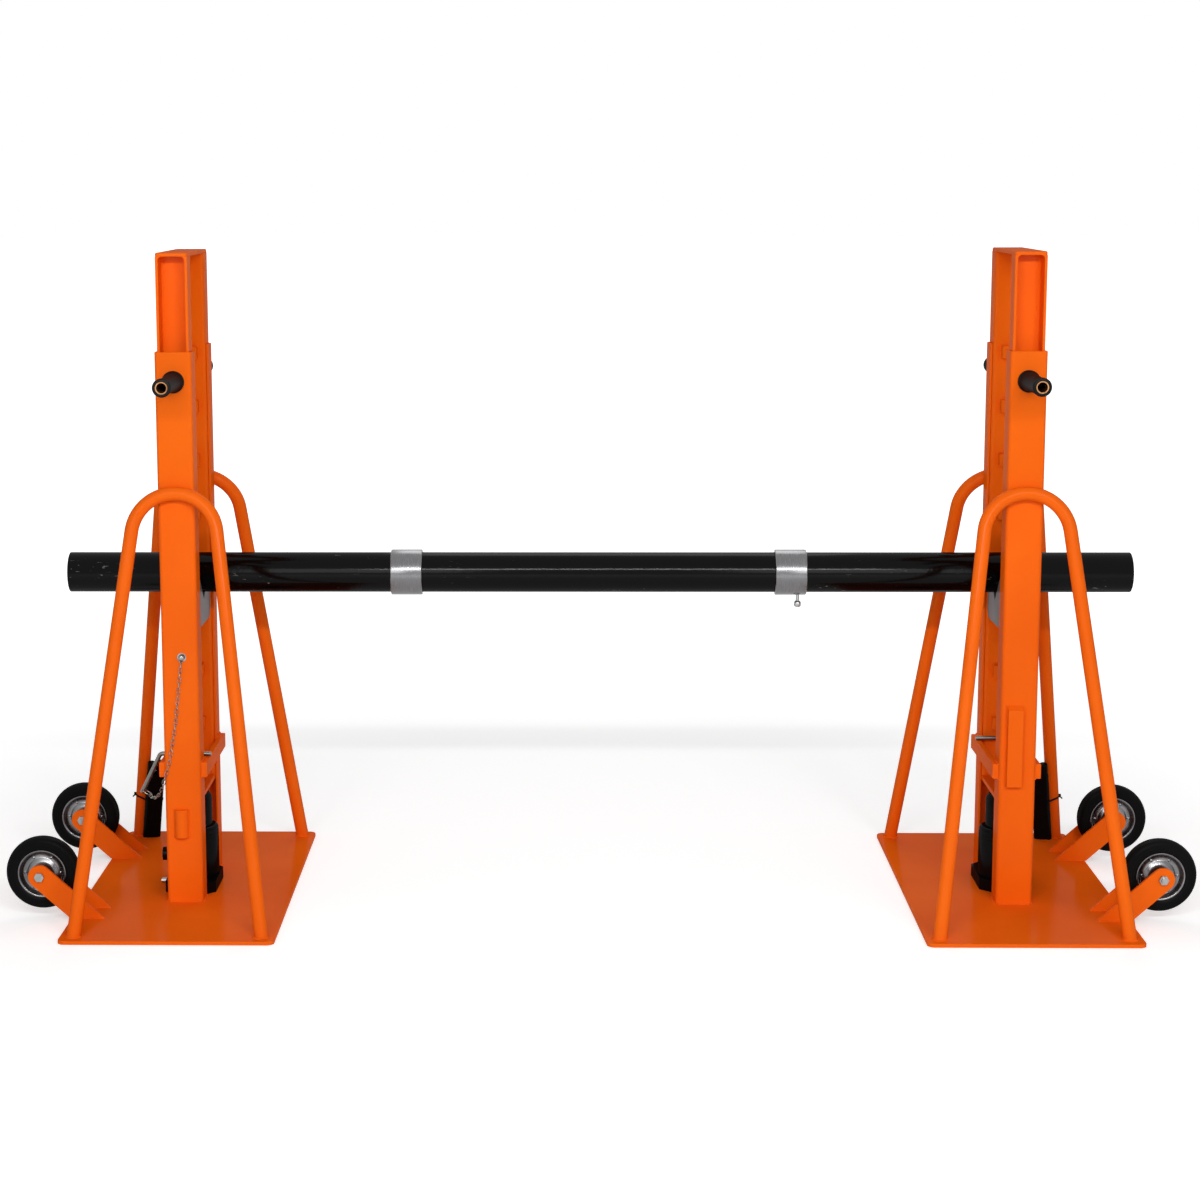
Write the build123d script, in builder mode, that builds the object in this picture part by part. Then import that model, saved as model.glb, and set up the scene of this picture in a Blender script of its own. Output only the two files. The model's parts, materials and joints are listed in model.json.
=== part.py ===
from build123d import *
import os
from math import asin, atan, atan2, ceil, cos, degrees, hypot, radians, sin, sqrt, tan

# Cable drum jack: two hydraulic lifting stands with a spindle across them.
# The frame stands on the ground midway between the stands: X runs along the spindle,
# -Y faces the front and Z is up. A stand is drawn about its own centre line, with +X
# towards the drum. It stands in its place on the left, and turned half round on the right.

# Distance between the centre lines of the two stands
stand_spacing = 1837.0

# Base plate
plate_width = 460.0
plate_depth = 900.0
plate_thickness = 8.0
plate_corner_radius = 16.0
plate_edge = 0.8

# Outer posts: channels that face each other, open towards the middle
post_width = 80.0
post_depth = 55.0
post_wall = 5.0
post_bend_radius = 8.0
post_top = 1230.0
post_reach = 158.0

# Sliding mast: two channels inside the posts, web to web
mast_wall = 6.0
mast_bend_radius = 8.0
mast_depth = 52.0
mast_top = 1442.0
mast_side_clearance = 0.5
mast_tip_clearance = 4.0
mast_cap_thickness = 8.0
mast_cap_radius = 6.0
mast_foot_thickness = 10.0

# Lugs on the mast webs that carry the saddle and rest on the safety pin
lug_count = 8
lug_pitch = 121.0
lug_width = 34.0
lug_height = 28.0
lug_projection = 22.0
lug_edge_radius = 3.0
first_lug_bottom = 351.0

# Bent tube hoops that brace each post
hoop_tube_radius = 15.0
hoop_wall = 2.6
hoop_side_inset = 30.0
hoop_end_inset = 34.0
hoop_top = 926.0
hoop_bend_radius = 93.0
weld_gap = 0.1

# Guide bars that tie the posts together and carry the safety pin
bar_thickness = 13.0
bar_height = 33.0
bar_top = 324.0
bar_half_length = 150.0
bar_edge_radius = 2.0

# Spindle and V saddle
spindle_radius = 44.45
spindle_wall = 5.0
spindle_length = 2368.0
spindle_height = 727.0
spindle_edge = 0.8
saddle_v_room = 20.0
saddle_clearance = 0.3
saddle_plate_thickness = 6.0
saddle_plate_side = 27.0
saddle_web_clearance = 4.0
saddle_skirt = 10.0
saddle_bar_height = 25.0
saddle_bar_depth = 20.0
saddle_arm_rise = 4.0
saddle_corner_cut = 18.0

# Locking sleeves on the spindle, each with a clamp screw
sleeve_radius = 50.8
sleeve_length = 70.0
sleeve_bore_clearance = 0.3
sleeve_inner_end = 393.0
sleeve_edge = 1.5
screw_neck_radius = 4.0
screw_head_radius = 8.0
screw_head_length = 14.0
screw_neck_length = 14.0
screw_hole_clearance = 0.1
screw_from_inner_end = 52.5
screw_edge = 1.5

# Hand grips on the post faces
grip_height = 1166.0
grip_length = 160.0
grip_tube_radius = 13.5
grip_tube_bore = 10.5
grip_flange_radius = 24.0
grip_flange_thickness = 9.0
grip_root_radius = 21.0
grip_neck_radius = 17.0
grip_end_radius = 20.0
grip_end_length = 10.0
grip_root_step = 4.0
grip_end_edge = 2.0
grip_clearance = 0.1

# Half-round stop on the front post, flat bar pocket on the rear post
stop_radius = 15.5
stop_bottom = 157.0
stop_height = 63.0
stop_side = -4.0
pocket_width = 33.0
pocket_thickness = 16.0
pocket_bottom = 277.0
pocket_height = 181.0
pocket_side = 9.0
pocket_top_taper = 10.0

# Wheels and their arms
tyre_radius = 80.0
tyre_half_width = 20.0
tyre_shoulder = 9.0
rim_seat_radius = 49.0
rim_flange_radius = 53.0
rim_flange_inset = 1.0
rim_bead_half_width = 17.0
rim_disc_radius = 43.0
rim_dish_radius = 34.0
rim_boss_radius = 27.0
rim_dish_face = 8.0
rim_boss_face = 14.0
rim_fit = 0.1
dimple_count = 6
dimple_radius = 3.0
dimple_circle = 38.5
dimple_depth = 1.5
hub_radius = 12.5
hub_half_length = 30.0
wheel_depth = 242.5
axle_overhang = 67.0
axle_height = 101.0
arm_width = 50.0
arm_thickness = 8.0
arm_foot_inset = 35.0
arm_gap = 71.0
bolt_radius = 6.0
bolt_clearance = 0.1
bolt_head_flats = 19.0
bolt_head_height = 7.5
bolt_end = 4.0
spacer_radius = 10.0
spacer_gap = 0.4

# Hydraulic jack
jack_height = 220.0
jack_base_height = 26.0
jack_base_side = 57.0
jack_base_front = 100.0
jack_base_back = 62.0
jack_base_corner = 22.0
jacket_radius = 54.0
jacket_top = 146.0
jacket_shoulder = 6.0
jacket_rib_count = 3
jacket_rib_pitch = 7.0
jacket_groove = 2.0
cylinder_radius = 40.0
cylinder_top = 222.0
cylinder_dome = 14.0
ram_radius = 25.0
ram_head_radius = 20.0
ram_bottom = 44.0
cylinder_bottom = 42.0
running_gap = 0.05
jacket_gap = 0.2

# Pump beside the jack, on the side of the front post
pump_depth = -80.0
pump_boss_radius = 15.0
pump_boss_top = 72.0
plunger_radius = 8.0
barrel_bottom = 41.0
plunger_bottom = 42.0
plunger_shoulder = 83.0
plunger_top = 106.0
plunger_pin_overhang = 1.0
plunger_eye_thickness = 12.0
lever_pivot_side = 28.0
lever_pivot_height = 98.0
lever_pin_radius = 4.0
lever_cheek_gap = 13.0
lever_cheek_thickness = 4.0
lever_cheek_radius = 9.0
lever_slot_length = 18.0
lever_slot_radius = 4.8
socket_root = -16.0
socket_mouth = -60.0
socket_outer_radius = 15.0
socket_bore_radius = 11.0
pivot_post_thickness = 12.0

# Release valve on the outer side of the jack base
valve_depth = -30.0
valve_height = 21.0
valve_radius = 6.0
valve_stem_length = 16.0
valve_bore_depth = 20.0
valve_seat_gap = 1.0
valve_slot = 3.0

# Safety pin and its chain
pin_radius = 5.0
pin_lug_distance = 85.0
pin_tip_side = 54.5
pin_bend_side = -60.0
pin_bend_radius = 9.0
pin_leg_length = 100.0
pin_leg_fall = {"left": 64.0, "right": 90.0}
pin_seat_gap = 0.2
pin_eye_radius = 2.8
pin_eye_from_end = 7.0
rivet_height = 562.0
rivet_side = 4.0
rivet_head_radius = 7.0
rivet_head_height = 5.0
rivet_head_taper = 20.0
rivet_shank_radius = 1.8
rivet_link_room = 5.2
rivet_washer_radius = 10.0
rivet_washer_thickness = 1.5
link_length = 16.1
link_width = 8.0
link_wire = 1.6
link_slack = 0.8
ring_radius = 11.0
ring_wire_radius = 1.2
ring_overlap = 0.9
ring_directions = {"left": (0.8486, 0, -0.5291), "right": (0, 0, -1)}
ring_link_angles = {"left": 45.0, "right": 70.0}
chain_on_post = (
    (4.0, -163.3, 563.9),
    (-1.5, -163.4, 510.0),
    (-6.5, -163.4, 463.0),
    (-11.5, -163.4, 419.0),
    (-21.5, -163.4, 361.0),
    (-29.5, -163.4, 320.0),
)
chain_tails = {
    "left": (
        (-39.5, -161.5, 288.0),
        (-48.0, -149.5, 263.0),
        (-58.0, -134.0, 246.0),
        (-69.0, -117.0, 236.0),
        (-78.5, -102.0, 233.5),
    ),
    "right": (
        (-39.5, -160.5, 286.0),
        (-47.0, -151.0, 258.5),
        (-54.0, -137.5, 238.0),
        (-58.5, -121.0, 224.5),
        (-60.2, -105.0, 220.2),
    ),
}

# Pump handle, stored as two tubes beside the outer leg of the rear hoop
handle_radius = 10.0
handle_wall = 2.0
handle_lengths = (205.0, 188.0)
handle_leg_gap = 0.6
handle_directions = (-38.0, 8.0)

# Sizes that follow from the values above
post_foot = plate_thickness
post_inner_face = post_reach - post_wall
mast_width = post_width - 2 * post_wall - 2 * mast_side_clearance
mast_tip = post_inner_face - mast_tip_clearance
mast_web_face = mast_tip - mast_depth
mast_foot_bottom = plate_thickness + jack_height
mast_channel_bottom = mast_foot_bottom + mast_foot_thickness
mast_channel_top = mast_top - mast_cap_thickness
lug_bottoms = [first_lug_bottom + n * lug_pitch for n in range(lug_count)]
hoop_foot_spread = plate_width / 2 - hoop_side_inset
hoop_foot_depth = plate_depth / 2 - hoop_end_inset
axle_side = plate_width / 2 + axle_overhang
arm_foot_side = plate_width / 2 - arm_foot_inset
hoop_reach = post_reach + hoop_tube_radius + weld_gap
bar_side = post_width / 2 + bar_thickness / 2
pin_height = bar_top + pin_radius + pin_seat_gap
left_place = Location((-stand_spacing / 2, 0, 0))
right_place = Location((stand_spacing / 2, 0, 0), (0, 0, 180))
places = {"left": left_place, "right": right_place}

os.makedirs("parts", exist_ok=True)


def save(shape, name, place):
    """Stand one finished piece in its place, label it and write it."""
    with BuildPart() as piece:
        add(shape.moved(place))
    piece.part.label = name
    export_step(piece.part, f"parts/{name}.step")


def save_pair(shape, name):
    """Write the same piece for the left and the right stand."""
    for side, place in places.items():
        save(shape, f"{name}_{side}", place)


def channel(width, depth, wall, bend_radius):
    """U section of bent plate: web along y = 0, mouth towards +Y."""
    with BuildSketch() as section:
        with Locations((0, depth / 2)):
            Rectangle(width, depth)
        fillet(section.vertices().group_by(Axis.Y)[0], bend_radius)
        with BuildSketch(mode=Mode.PRIVATE) as hollow:
            with Locations((0, wall + depth / 2)):
                Rectangle(width - 2 * wall, depth)
            fillet(hollow.vertices().group_by(Axis.Y)[0], bend_radius - wall / 2)
        add(hollow.sketch, mode=Mode.SUBTRACT)
    return section.sketch


# Base plate
with BuildPart() as base_plate:
    with BuildSketch():
        RectangleRounded(plate_width, plate_depth, plate_corner_radius)
    extrude(amount=plate_thickness)
    top_edges = base_plate.faces().sort_by(Axis.Z)[-1].edges()
    chamfer(top_edges, plate_edge)
save_pair(base_plate.part, "base_plate")

# Front post: its web is the face towards the viewer, with a half-round stop low down
post_section = channel(post_width, post_depth, post_wall, post_bend_radius)

with BuildPart() as post_front:
    with BuildSketch(Plane.XY.offset(post_foot)):
        with Locations((0, -post_reach)):
            add(post_section)
    extrude(amount=post_top - post_foot)
    with BuildSketch(Plane.XY.offset(stop_bottom)):
        with Locations((stop_side, -post_reach)):
            Circle(stop_radius)
        with Locations((stop_side, -post_reach + stop_radius)):
            Rectangle(2 * stop_radius, 2 * stop_radius, mode=Mode.SUBTRACT)
    extrude(amount=stop_height)
save_pair(post_front.part, "post_front")

# Rear post: the same channel turned round, with a flat bar pocket on its back.
# The bar's top end is cut back on a slope.
with BuildPart() as post_rear:
    with BuildSketch(Plane.XY.offset(post_foot)):
        with Locations((0, post_reach)):
            add(post_section, rotation=180)
    extrude(amount=post_top - post_foot)
    pocket_plane = Plane.YZ.offset(pocket_side - pocket_width / 2)
    with BuildSketch(pocket_plane):
        with BuildLine():
            Polyline(
                (post_reach, pocket_bottom),
                (post_reach + pocket_thickness, pocket_bottom),
                (post_reach + pocket_thickness, pocket_bottom + pocket_height - pocket_top_taper),
                (post_reach, pocket_bottom + pocket_height),
                close=True,
            )
        make_face()
    extrude(amount=pocket_width)
save_pair(post_rear.part, "post_rear")

# Hoops: a round tube bent to a narrow arch, welded to the post at its top.
# The legs lean out in the hoop's own plane, from the top bend to the plate corners.
hoop_rise = hoop_top - plate_thickness
hoop_run = hoop_foot_depth - hoop_reach
hoop_slant = hypot(hoop_rise, hoop_run)
bend_centre = hoop_slant - hoop_bend_radius
leg_lean = atan(hoop_foot_spread / bend_centre)
leg_lean -= asin(hoop_bend_radius / hypot(hoop_foot_spread, bend_centre))
leg_meeting = hoop_foot_spread / tan(leg_lean)
leg_overrun = 20.0


def hoop(direction):
    """One hoop: direction -1 leans to the front, +1 to the rear."""
    slope = Vector(0, -direction * hoop_run, hoop_rise)
    plane = Plane(
        origin=(0, direction * hoop_foot_depth, plate_thickness),
        x_dir=(1, 0, 0),
        z_dir=Vector(1, 0, 0).cross(slope),
    )
    foot_x = hoop_foot_spread + leg_overrun * tan(leg_lean)
    with BuildPart() as tube:
        with BuildLine(plane) as path:
            FilletPolyline(
                (-foot_x, -leg_overrun), (0, leg_meeting), (foot_x, -leg_overrun),
                radius=hoop_bend_radius,
            )
        with BuildSketch(Plane(origin=path.line @ 0, z_dir=path.line % 0)):
            Circle(hoop_tube_radius)
            Circle(hoop_tube_radius - hoop_wall, mode=Mode.SUBTRACT)
        sweep(path=path.line)
        split(bisect_by=Plane.XY.offset(plate_thickness), keep=Keep.TOP)
    return tube.part


save_pair(hoop(-1), "hoop_front")
save_pair(hoop(1), "hoop_rear")

# Guide bars along both sides of the posts
with BuildPart() as guide_bars:
    with Locations(
        (-bar_side, 0, bar_top - bar_height / 2), (bar_side, 0, bar_top - bar_height / 2)
    ):
        Box(bar_thickness, 2 * bar_half_length, bar_height)
    fillet(guide_bars.edges().filter_by(Axis.Y), bar_edge_radius)
save_pair(guide_bars.part, "guide_bars")

# Mast: two channels with their mouths towards the posts
mast_section = channel(mast_width, mast_depth, mast_wall, mast_bend_radius)

with BuildPart() as mast_channels:
    with BuildSketch(Plane.XY.offset(mast_channel_bottom)):
        with Locations((0, mast_web_face)):
            add(mast_section)
        with Locations((0, -mast_web_face)):
            add(mast_section, rotation=180)
    extrude(amount=mast_channel_top - mast_channel_bottom)
save_pair(mast_channels.part, "mast_channels")

# Cap plate and foot plate that join the two mast channels
with BuildPart() as mast_ends:
    with BuildSketch(Plane.XY.offset(mast_channel_top)):
        RectangleRounded(mast_width, 2 * mast_tip, mast_cap_radius)
    extrude(amount=mast_cap_thickness)
    fillet(mast_ends.faces().sort_by(Axis.Z)[-1].edges(), mast_cap_radius / 2)
    with BuildSketch(Plane.XY.offset(mast_foot_bottom)):
        Rectangle(mast_width, 2 * mast_tip)
    extrude(amount=mast_foot_thickness)
save_pair(mast_ends.part, "mast_ends")

# Lugs in pairs up the facing webs
with BuildPart() as mast_lugs:
    lug_side = mast_web_face - lug_projection / 2
    for bottom in lug_bottoms:
        with Locations((0, -lug_side, bottom + lug_height / 2), (0, lug_side, bottom + lug_height / 2)):
            Box(lug_width, lug_projection, lug_height)
    fillet(mast_lugs.edges().filter_by(Axis.Y), lug_edge_radius)
save_pair(mast_lugs.part, "mast_lugs")

# V saddle: two plates with a right-angled V, held together by two bars that hook on the
# highest pair of lugs that leaves room below the V. The spindle sits a small clearance off.
v_apex = spindle_height - (spindle_radius + saddle_clearance) * sqrt(2)
saddle_lug = int((v_apex - saddle_v_room - first_lug_bottom - lug_height) // lug_pitch)
saddle_seat = lug_bottoms[saddle_lug] + lug_height
saddle_half_depth = mast_web_face - saddle_web_clearance
saddle_top = spindle_height + saddle_arm_rise
v_mouth = saddle_top - v_apex

with BuildPart() as saddle:
    with BuildSketch(Plane.YZ.offset(saddle_plate_side)):
        with BuildLine():
            Polyline(
                (-saddle_half_depth, saddle_seat - saddle_skirt + saddle_corner_cut),
                (-saddle_half_depth + saddle_corner_cut, saddle_seat - saddle_skirt),
                (saddle_half_depth - saddle_corner_cut, saddle_seat - saddle_skirt),
                (saddle_half_depth, saddle_seat - saddle_skirt + saddle_corner_cut),
                (saddle_half_depth, saddle_top),
                (v_mouth, saddle_top),
                (0, v_apex),
                (-v_mouth, saddle_top),
                (-saddle_half_depth, saddle_top),
                close=True,
            )
        make_face()
    extrude(amount=saddle_plate_thickness)
    mirror(about=Plane.YZ)
    bar_middle = saddle_half_depth - saddle_bar_depth / 2
    bar_z = saddle_seat + saddle_bar_height / 2
    with Locations((0, -bar_middle, bar_z), (0, bar_middle, bar_z)):
        Box(2 * saddle_plate_side, saddle_bar_depth, saddle_bar_height)
save_pair(saddle.part, "saddle")

# Hand grips: a steel tube on each post face with a moulded rubber sleeve over it
grip_end = post_reach + grip_length

with BuildPart() as grips:
    with BuildSketch(Plane.XY.offset(grip_height)):
        with BuildLine():
            Polyline(
                (grip_tube_radius + grip_clearance, -post_reach),
                (grip_flange_radius, -post_reach),
                (grip_flange_radius, -post_reach - grip_flange_thickness),
                (grip_root_radius, -post_reach - grip_flange_thickness - grip_root_step),
                (grip_neck_radius, -grip_end + 2 * grip_end_length),
                (grip_end_radius, -grip_end + grip_end_length),
                (grip_end_radius, -grip_end + grip_end_edge),
                (grip_end_radius - grip_end_edge, -grip_end),
                (grip_tube_radius + grip_clearance, -grip_end),
                close=True,
            )
        make_face()
    revolve(axis=Axis((0, 0, grip_height), (0, 1, 0)))
    with BuildSketch(Plane.XY.offset(grip_height)):
        with Locations(((grip_tube_radius + grip_tube_bore) / 2, -post_reach - grip_length / 2)):
            Rectangle(grip_tube_radius - grip_tube_bore, grip_length)
    revolve(axis=Axis((0, 0, grip_height), (0, 1, 0)))
    mirror(about=Plane.XZ)
save_pair(grips.part, "grips")

# Wheel arms: flat bars with a round end at the axle, cut off level on the base plate
arm_angle = atan2(axle_height - plate_thickness, -(axle_side - arm_foot_side))
arm_faces = (arm_gap / 2, -arm_gap / 2 - arm_thickness)

with BuildPart() as wheel_arms:
    for middle in (-wheel_depth, wheel_depth):
        for face in arm_faces:
            with BuildSketch(Plane.XZ.offset(-(middle + face + arm_thickness))):
                with BuildLine():
                    along = Vector(cos(arm_angle), sin(arm_angle))
                    across = Vector(-sin(arm_angle), cos(arm_angle)) * (arm_width / 2)
                    axle = Vector(-axle_side, axle_height)
                    root = Vector(-arm_foot_side, plate_thickness)
                    overrun = root - along * arm_width
                    Line(overrun + across, axle + across)
                    ThreePointArc(axle + across, axle + along * (arm_width / 2), axle - across)
                    Line(axle - across, overrun - across)
                    Line(overrun - across, overrun + across)
                make_face()
                with Locations((-axle_side, axle_height)):
                    Circle(bolt_radius + bolt_clearance, mode=Mode.SUBTRACT)
            extrude(amount=arm_thickness)
    split(bisect_by=Plane.XY.offset(plate_thickness), keep=Keep.TOP)
save_pair(wheel_arms.part, "wheel_arms")

# Axle bolts: hexagon head on the front arm, nut behind the rear arm, and two spacers
# that keep the hub between the arms
hub_end = hub_half_length + spacer_gap

with BuildPart() as axle_bolts:
    for middle in (-wheel_depth, wheel_depth):
        front = middle - arm_gap / 2 - arm_thickness
        back = middle + arm_gap / 2 + arm_thickness
        axle_plane = Plane(origin=(-axle_side, front, axle_height), x_dir=(1, 0, 0), z_dir=(0, 1, 0))
        with BuildSketch(axle_plane):
            Circle(bolt_radius)
        extrude(amount=back - front + bolt_head_height + bolt_end)
        with BuildSketch(axle_plane):
            RegularPolygon(bolt_head_flats / 2, 6, major_radius=False)
        extrude(amount=-bolt_head_height)
        with BuildSketch(axle_plane.offset(back - front)):
            RegularPolygon(bolt_head_flats / 2, 6, major_radius=False)
        extrude(amount=bolt_head_height)
        for start in (front + arm_thickness, middle + hub_end):
            with BuildSketch(axle_plane.offset(start - front)):
                Circle(spacer_radius)
            extrude(amount=arm_gap / 2 - hub_end)
save_pair(axle_bolts.part, "axle_bolts")

# Tyre: a solid rubber ring with a rounded tread, seated in the rim's bead
with BuildPart() as tyre:
    with BuildSketch(Plane.XY) as tyre_half:
        with BuildLine():
            Polyline(
                (rim_seat_radius + rim_fit, 0),
                (rim_seat_radius + rim_fit, rim_bead_half_width - rim_fit),
                (rim_flange_radius + rim_fit, rim_bead_half_width - rim_fit),
                (rim_flange_radius + rim_fit, tyre_half_width),
                (tyre_radius, tyre_half_width),
                (tyre_radius, 0),
                close=True,
            )
        make_face()
        fillet(tyre_half.vertices().sort_by(lambda v: v.X + v.Y)[-1], tyre_shoulder)
    revolve(axis=Axis.Y)
    mirror(about=Plane.XZ)

# Rim: pressed steel discs dished round a hub tube, with dimples round the dish
with BuildPart() as rim:
    with BuildSketch(Plane.XY):
        with BuildLine():
            Polyline(
                (bolt_radius + bolt_clearance, 0),
                (bolt_radius + bolt_clearance, hub_half_length),
                (hub_radius, hub_half_length),
                (hub_radius, rim_boss_face),
                (rim_boss_radius, rim_boss_face),
                (rim_dish_radius, rim_dish_face),
                (rim_disc_radius, rim_dish_face),
                (rim_seat_radius, tyre_half_width - rim_flange_inset),
                (rim_flange_radius, tyre_half_width - rim_flange_inset),
                (rim_flange_radius, rim_bead_half_width),
                (rim_seat_radius, rim_bead_half_width),
                (rim_seat_radius, 0),
                close=True,
            )
        make_face()
    revolve(axis=Axis.Y)
    mirror(about=Plane.XZ)
    for face in (-rim_dish_face, rim_dish_face):
        outward = Plane(origin=(0, face, 0), x_dir=(1, 0, 0), z_dir=(0, face, 0))
        with BuildSketch(outward):
            with PolarLocations(dimple_circle, dimple_count):
                Circle(dimple_radius)
        extrude(amount=-dimple_depth, mode=Mode.SUBTRACT)

for side, place in places.items():
    for row, middle in (("front", -wheel_depth), ("rear", wheel_depth)):
        axle_place = place * Location((-axle_side, middle, axle_height))
        save(tyre.part, f"tyre_{row}_{side}", axle_place)
        save(rim.part, f"rim_{row}_{side}", axle_place)

# Jack base: an eight-sided casting with the pump barrel, the lever's pivot post and
# the release valve's bore
base_top = plate_thickness + jack_base_height
base_length = jack_base_front + jack_base_back
base_middle = (jack_base_back - jack_base_front) / 2

with BuildPart() as jack_base:
    with BuildSketch(Plane.XY.offset(plate_thickness)) as base_outline:
        with Locations((0, base_middle)):
            Rectangle(2 * jack_base_side, base_length)
        chamfer(base_outline.vertices(), jack_base_corner)
    extrude(amount=jack_base_height)
    with BuildSketch(Plane.XY.offset(base_top)):
        with Locations((0, pump_depth)):
            Circle(pump_boss_radius)
    extrude(amount=pump_boss_top - base_top)
    pivot_plane = Plane.XZ.offset(-(pump_depth + pivot_post_thickness / 2))
    with BuildSketch(pivot_plane):
        with Locations((lever_pivot_side, (base_top + lever_pivot_height) / 2)):
            Rectangle(2 * lever_cheek_radius, lever_pivot_height - base_top)
        with Locations((lever_pivot_side, lever_pivot_height)):
            Circle(lever_cheek_radius)
            Circle(lever_pin_radius + bolt_clearance, mode=Mode.SUBTRACT)
    extrude(amount=pivot_post_thickness)
    with BuildSketch(Plane.XY.offset(pump_boss_top)):
        with Locations((0, pump_depth)):
            Circle(plunger_radius + running_gap)
    extrude(amount=-(pump_boss_top - barrel_bottom), mode=Mode.SUBTRACT)
    with BuildSketch(Plane.YZ.offset(-jack_base_side)):
        with Locations((valve_depth, valve_height)):
            Circle(valve_radius + running_gap)
    extrude(amount=valve_bore_depth, mode=Mode.SUBTRACT)
save_pair(jack_base.part, "jack_base")

# Jack reservoir: the wide oil jacket, with ribs below its rounded shoulder
with BuildPart() as jack_reservoir:
    with BuildSketch(Plane.XZ) as jacket_half:
        with BuildLine():
            Polyline(
                (cylinder_radius + jacket_gap, base_top),
                (jacket_radius, base_top),
                (jacket_radius, jacket_top),
                (cylinder_radius + jacket_gap, jacket_top),
                close=True,
            )
        make_face()
        fillet(jacket_half.vertices().sort_by(lambda v: v.X + v.Y)[-1], jacket_shoulder)
        for rib in range(jacket_rib_count):
            with Locations((jacket_radius, jacket_top - 2 * jacket_shoulder - rib * jacket_rib_pitch)):
                Rectangle(jacket_groove, jacket_groove, mode=Mode.SUBTRACT)
    revolve(axis=Axis.Z)
save_pair(jack_reservoir.part, "jack_reservoir")

# Jack cylinder: stands up through the jacket and ends in a domed head
with BuildPart() as jack_cylinder:
    with BuildSketch(Plane.XZ) as cylinder_half:
        with BuildLine():
            Polyline(
                (0, base_top),
                (cylinder_radius, base_top),
                (cylinder_radius, cylinder_top),
                (ram_radius + running_gap, cylinder_top),
                (ram_radius + running_gap, cylinder_bottom),
                (0, cylinder_bottom),
                close=True,
            )
        make_face()
        fillet(cylinder_half.vertices().sort_by(lambda v: v.X + v.Y)[-1], cylinder_dome)
    revolve(axis=Axis.Z)
save_pair(jack_cylinder.part, "jack_cylinder")

# Ram: ground rod with a stepped head that lifts the mast foot
with BuildPart() as jack_ram:
    with BuildSketch(Plane.XY.offset(ram_bottom)):
        Circle(ram_radius)
    extrude(amount=cylinder_top - ram_bottom)
    with BuildSketch(Plane.XY.offset(cylinder_top)):
        Circle(ram_head_radius)
    extrude(amount=mast_foot_bottom - cylinder_top)
save_pair(jack_ram.part, "jack_ram")

# Pump plunger: round rod with a flat eye and a cross pin that the lever lifts
with BuildPart() as pump_plunger:
    with BuildSketch(Plane.XY.offset(plunger_bottom)):
        with Locations((0, pump_depth)):
            Circle(plunger_radius)
    extrude(amount=plunger_top - plunger_bottom)
    flat_height = plunger_top - plunger_shoulder
    for cheek in (-1, 1):
        flat_depth = pump_depth + cheek * (plunger_eye_thickness / 2 + plunger_radius)
        with Locations((0, flat_depth, plunger_top)):
            Box(4 * plunger_radius, 2 * plunger_radius, 2 * flat_height, mode=Mode.SUBTRACT)
    cheek_reach = lever_cheek_gap / 2 + lever_cheek_thickness + plunger_pin_overhang
    with BuildSketch(Plane.XZ.offset(-(pump_depth + cheek_reach))):
        with Locations((0, lever_pivot_height)):
            Circle(lever_pin_radius)
    extrude(amount=2 * cheek_reach)
save_pair(pump_plunger.part, "pump_plunger")

# Lever socket: two cheeks on the pivot, slotted for the plunger's pin, and the tube
# that takes the pump handle
with BuildPart() as lever_socket:
    for cheek in (-lever_cheek_gap / 2, lever_cheek_gap / 2 + lever_cheek_thickness):
        with BuildSketch(Plane.XZ.offset(-(pump_depth + cheek))):
            with BuildLine():
                Line((lever_pivot_side, lever_pivot_height + lever_cheek_radius),
                     (socket_root, lever_pivot_height + lever_cheek_radius))
                Line((socket_root, lever_pivot_height + lever_cheek_radius),
                     (socket_root, lever_pivot_height - lever_cheek_radius))
                Line((socket_root, lever_pivot_height - lever_cheek_radius),
                     (lever_pivot_side, lever_pivot_height - lever_cheek_radius))
                ThreePointArc((lever_pivot_side, lever_pivot_height - lever_cheek_radius),
                              (lever_pivot_side + lever_cheek_radius, lever_pivot_height),
                              (lever_pivot_side, lever_pivot_height + lever_cheek_radius))
            make_face()
            with Locations((0, lever_pivot_height)):
                SlotOverall(lever_slot_length, 2 * lever_slot_radius, mode=Mode.SUBTRACT)
        extrude(amount=lever_cheek_thickness)
    with BuildSketch(Plane.YZ.offset(socket_mouth)):
        with Locations((pump_depth, lever_pivot_height)):
            Circle(socket_outer_radius)
    extrude(amount=socket_root - socket_mouth)
    with BuildSketch(Plane.YZ.offset(socket_mouth)):
        with Locations((pump_depth, lever_pivot_height)):
            Circle(socket_bore_radius)
    extrude(amount=socket_root - socket_mouth - lever_cheek_thickness, mode=Mode.SUBTRACT)
    cheek_span = lever_cheek_gap / 2 + lever_cheek_thickness
    with BuildSketch(Plane.XZ.offset(-(pump_depth + cheek_span))):
        with Locations((lever_pivot_side, lever_pivot_height)):
            Circle(lever_pin_radius)
    extrude(amount=2 * cheek_span)
save_pair(lever_socket.part, "lever_socket")

# Release valve: a screw with a slotted end, turned with the handle's notched foot
with BuildPart() as release_valve:
    with BuildSketch(Plane.YZ.offset(-jack_base_side - valve_stem_length)):
        with Locations((valve_depth, valve_height)):
            Circle(valve_radius)
    extrude(amount=valve_stem_length + valve_bore_depth - valve_seat_gap)
    with Locations((-jack_base_side - valve_stem_length, valve_depth, valve_height)):
        Box(2 * valve_slot, valve_slot, 3 * valve_radius, mode=Mode.SUBTRACT)
save_pair(release_valve.part, "release_valve")


# Safety pin: a rod laid across the guide bars below a lug, with a bent leg outside.
# The left one's leg is bent open, the right one's hangs square.
def leg_direction_for(side):
    """Direction of the pin's leg, away from its bend."""
    fall = radians(pin_leg_fall[side])
    return Vector(-cos(fall), 0, -sin(fall))


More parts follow.
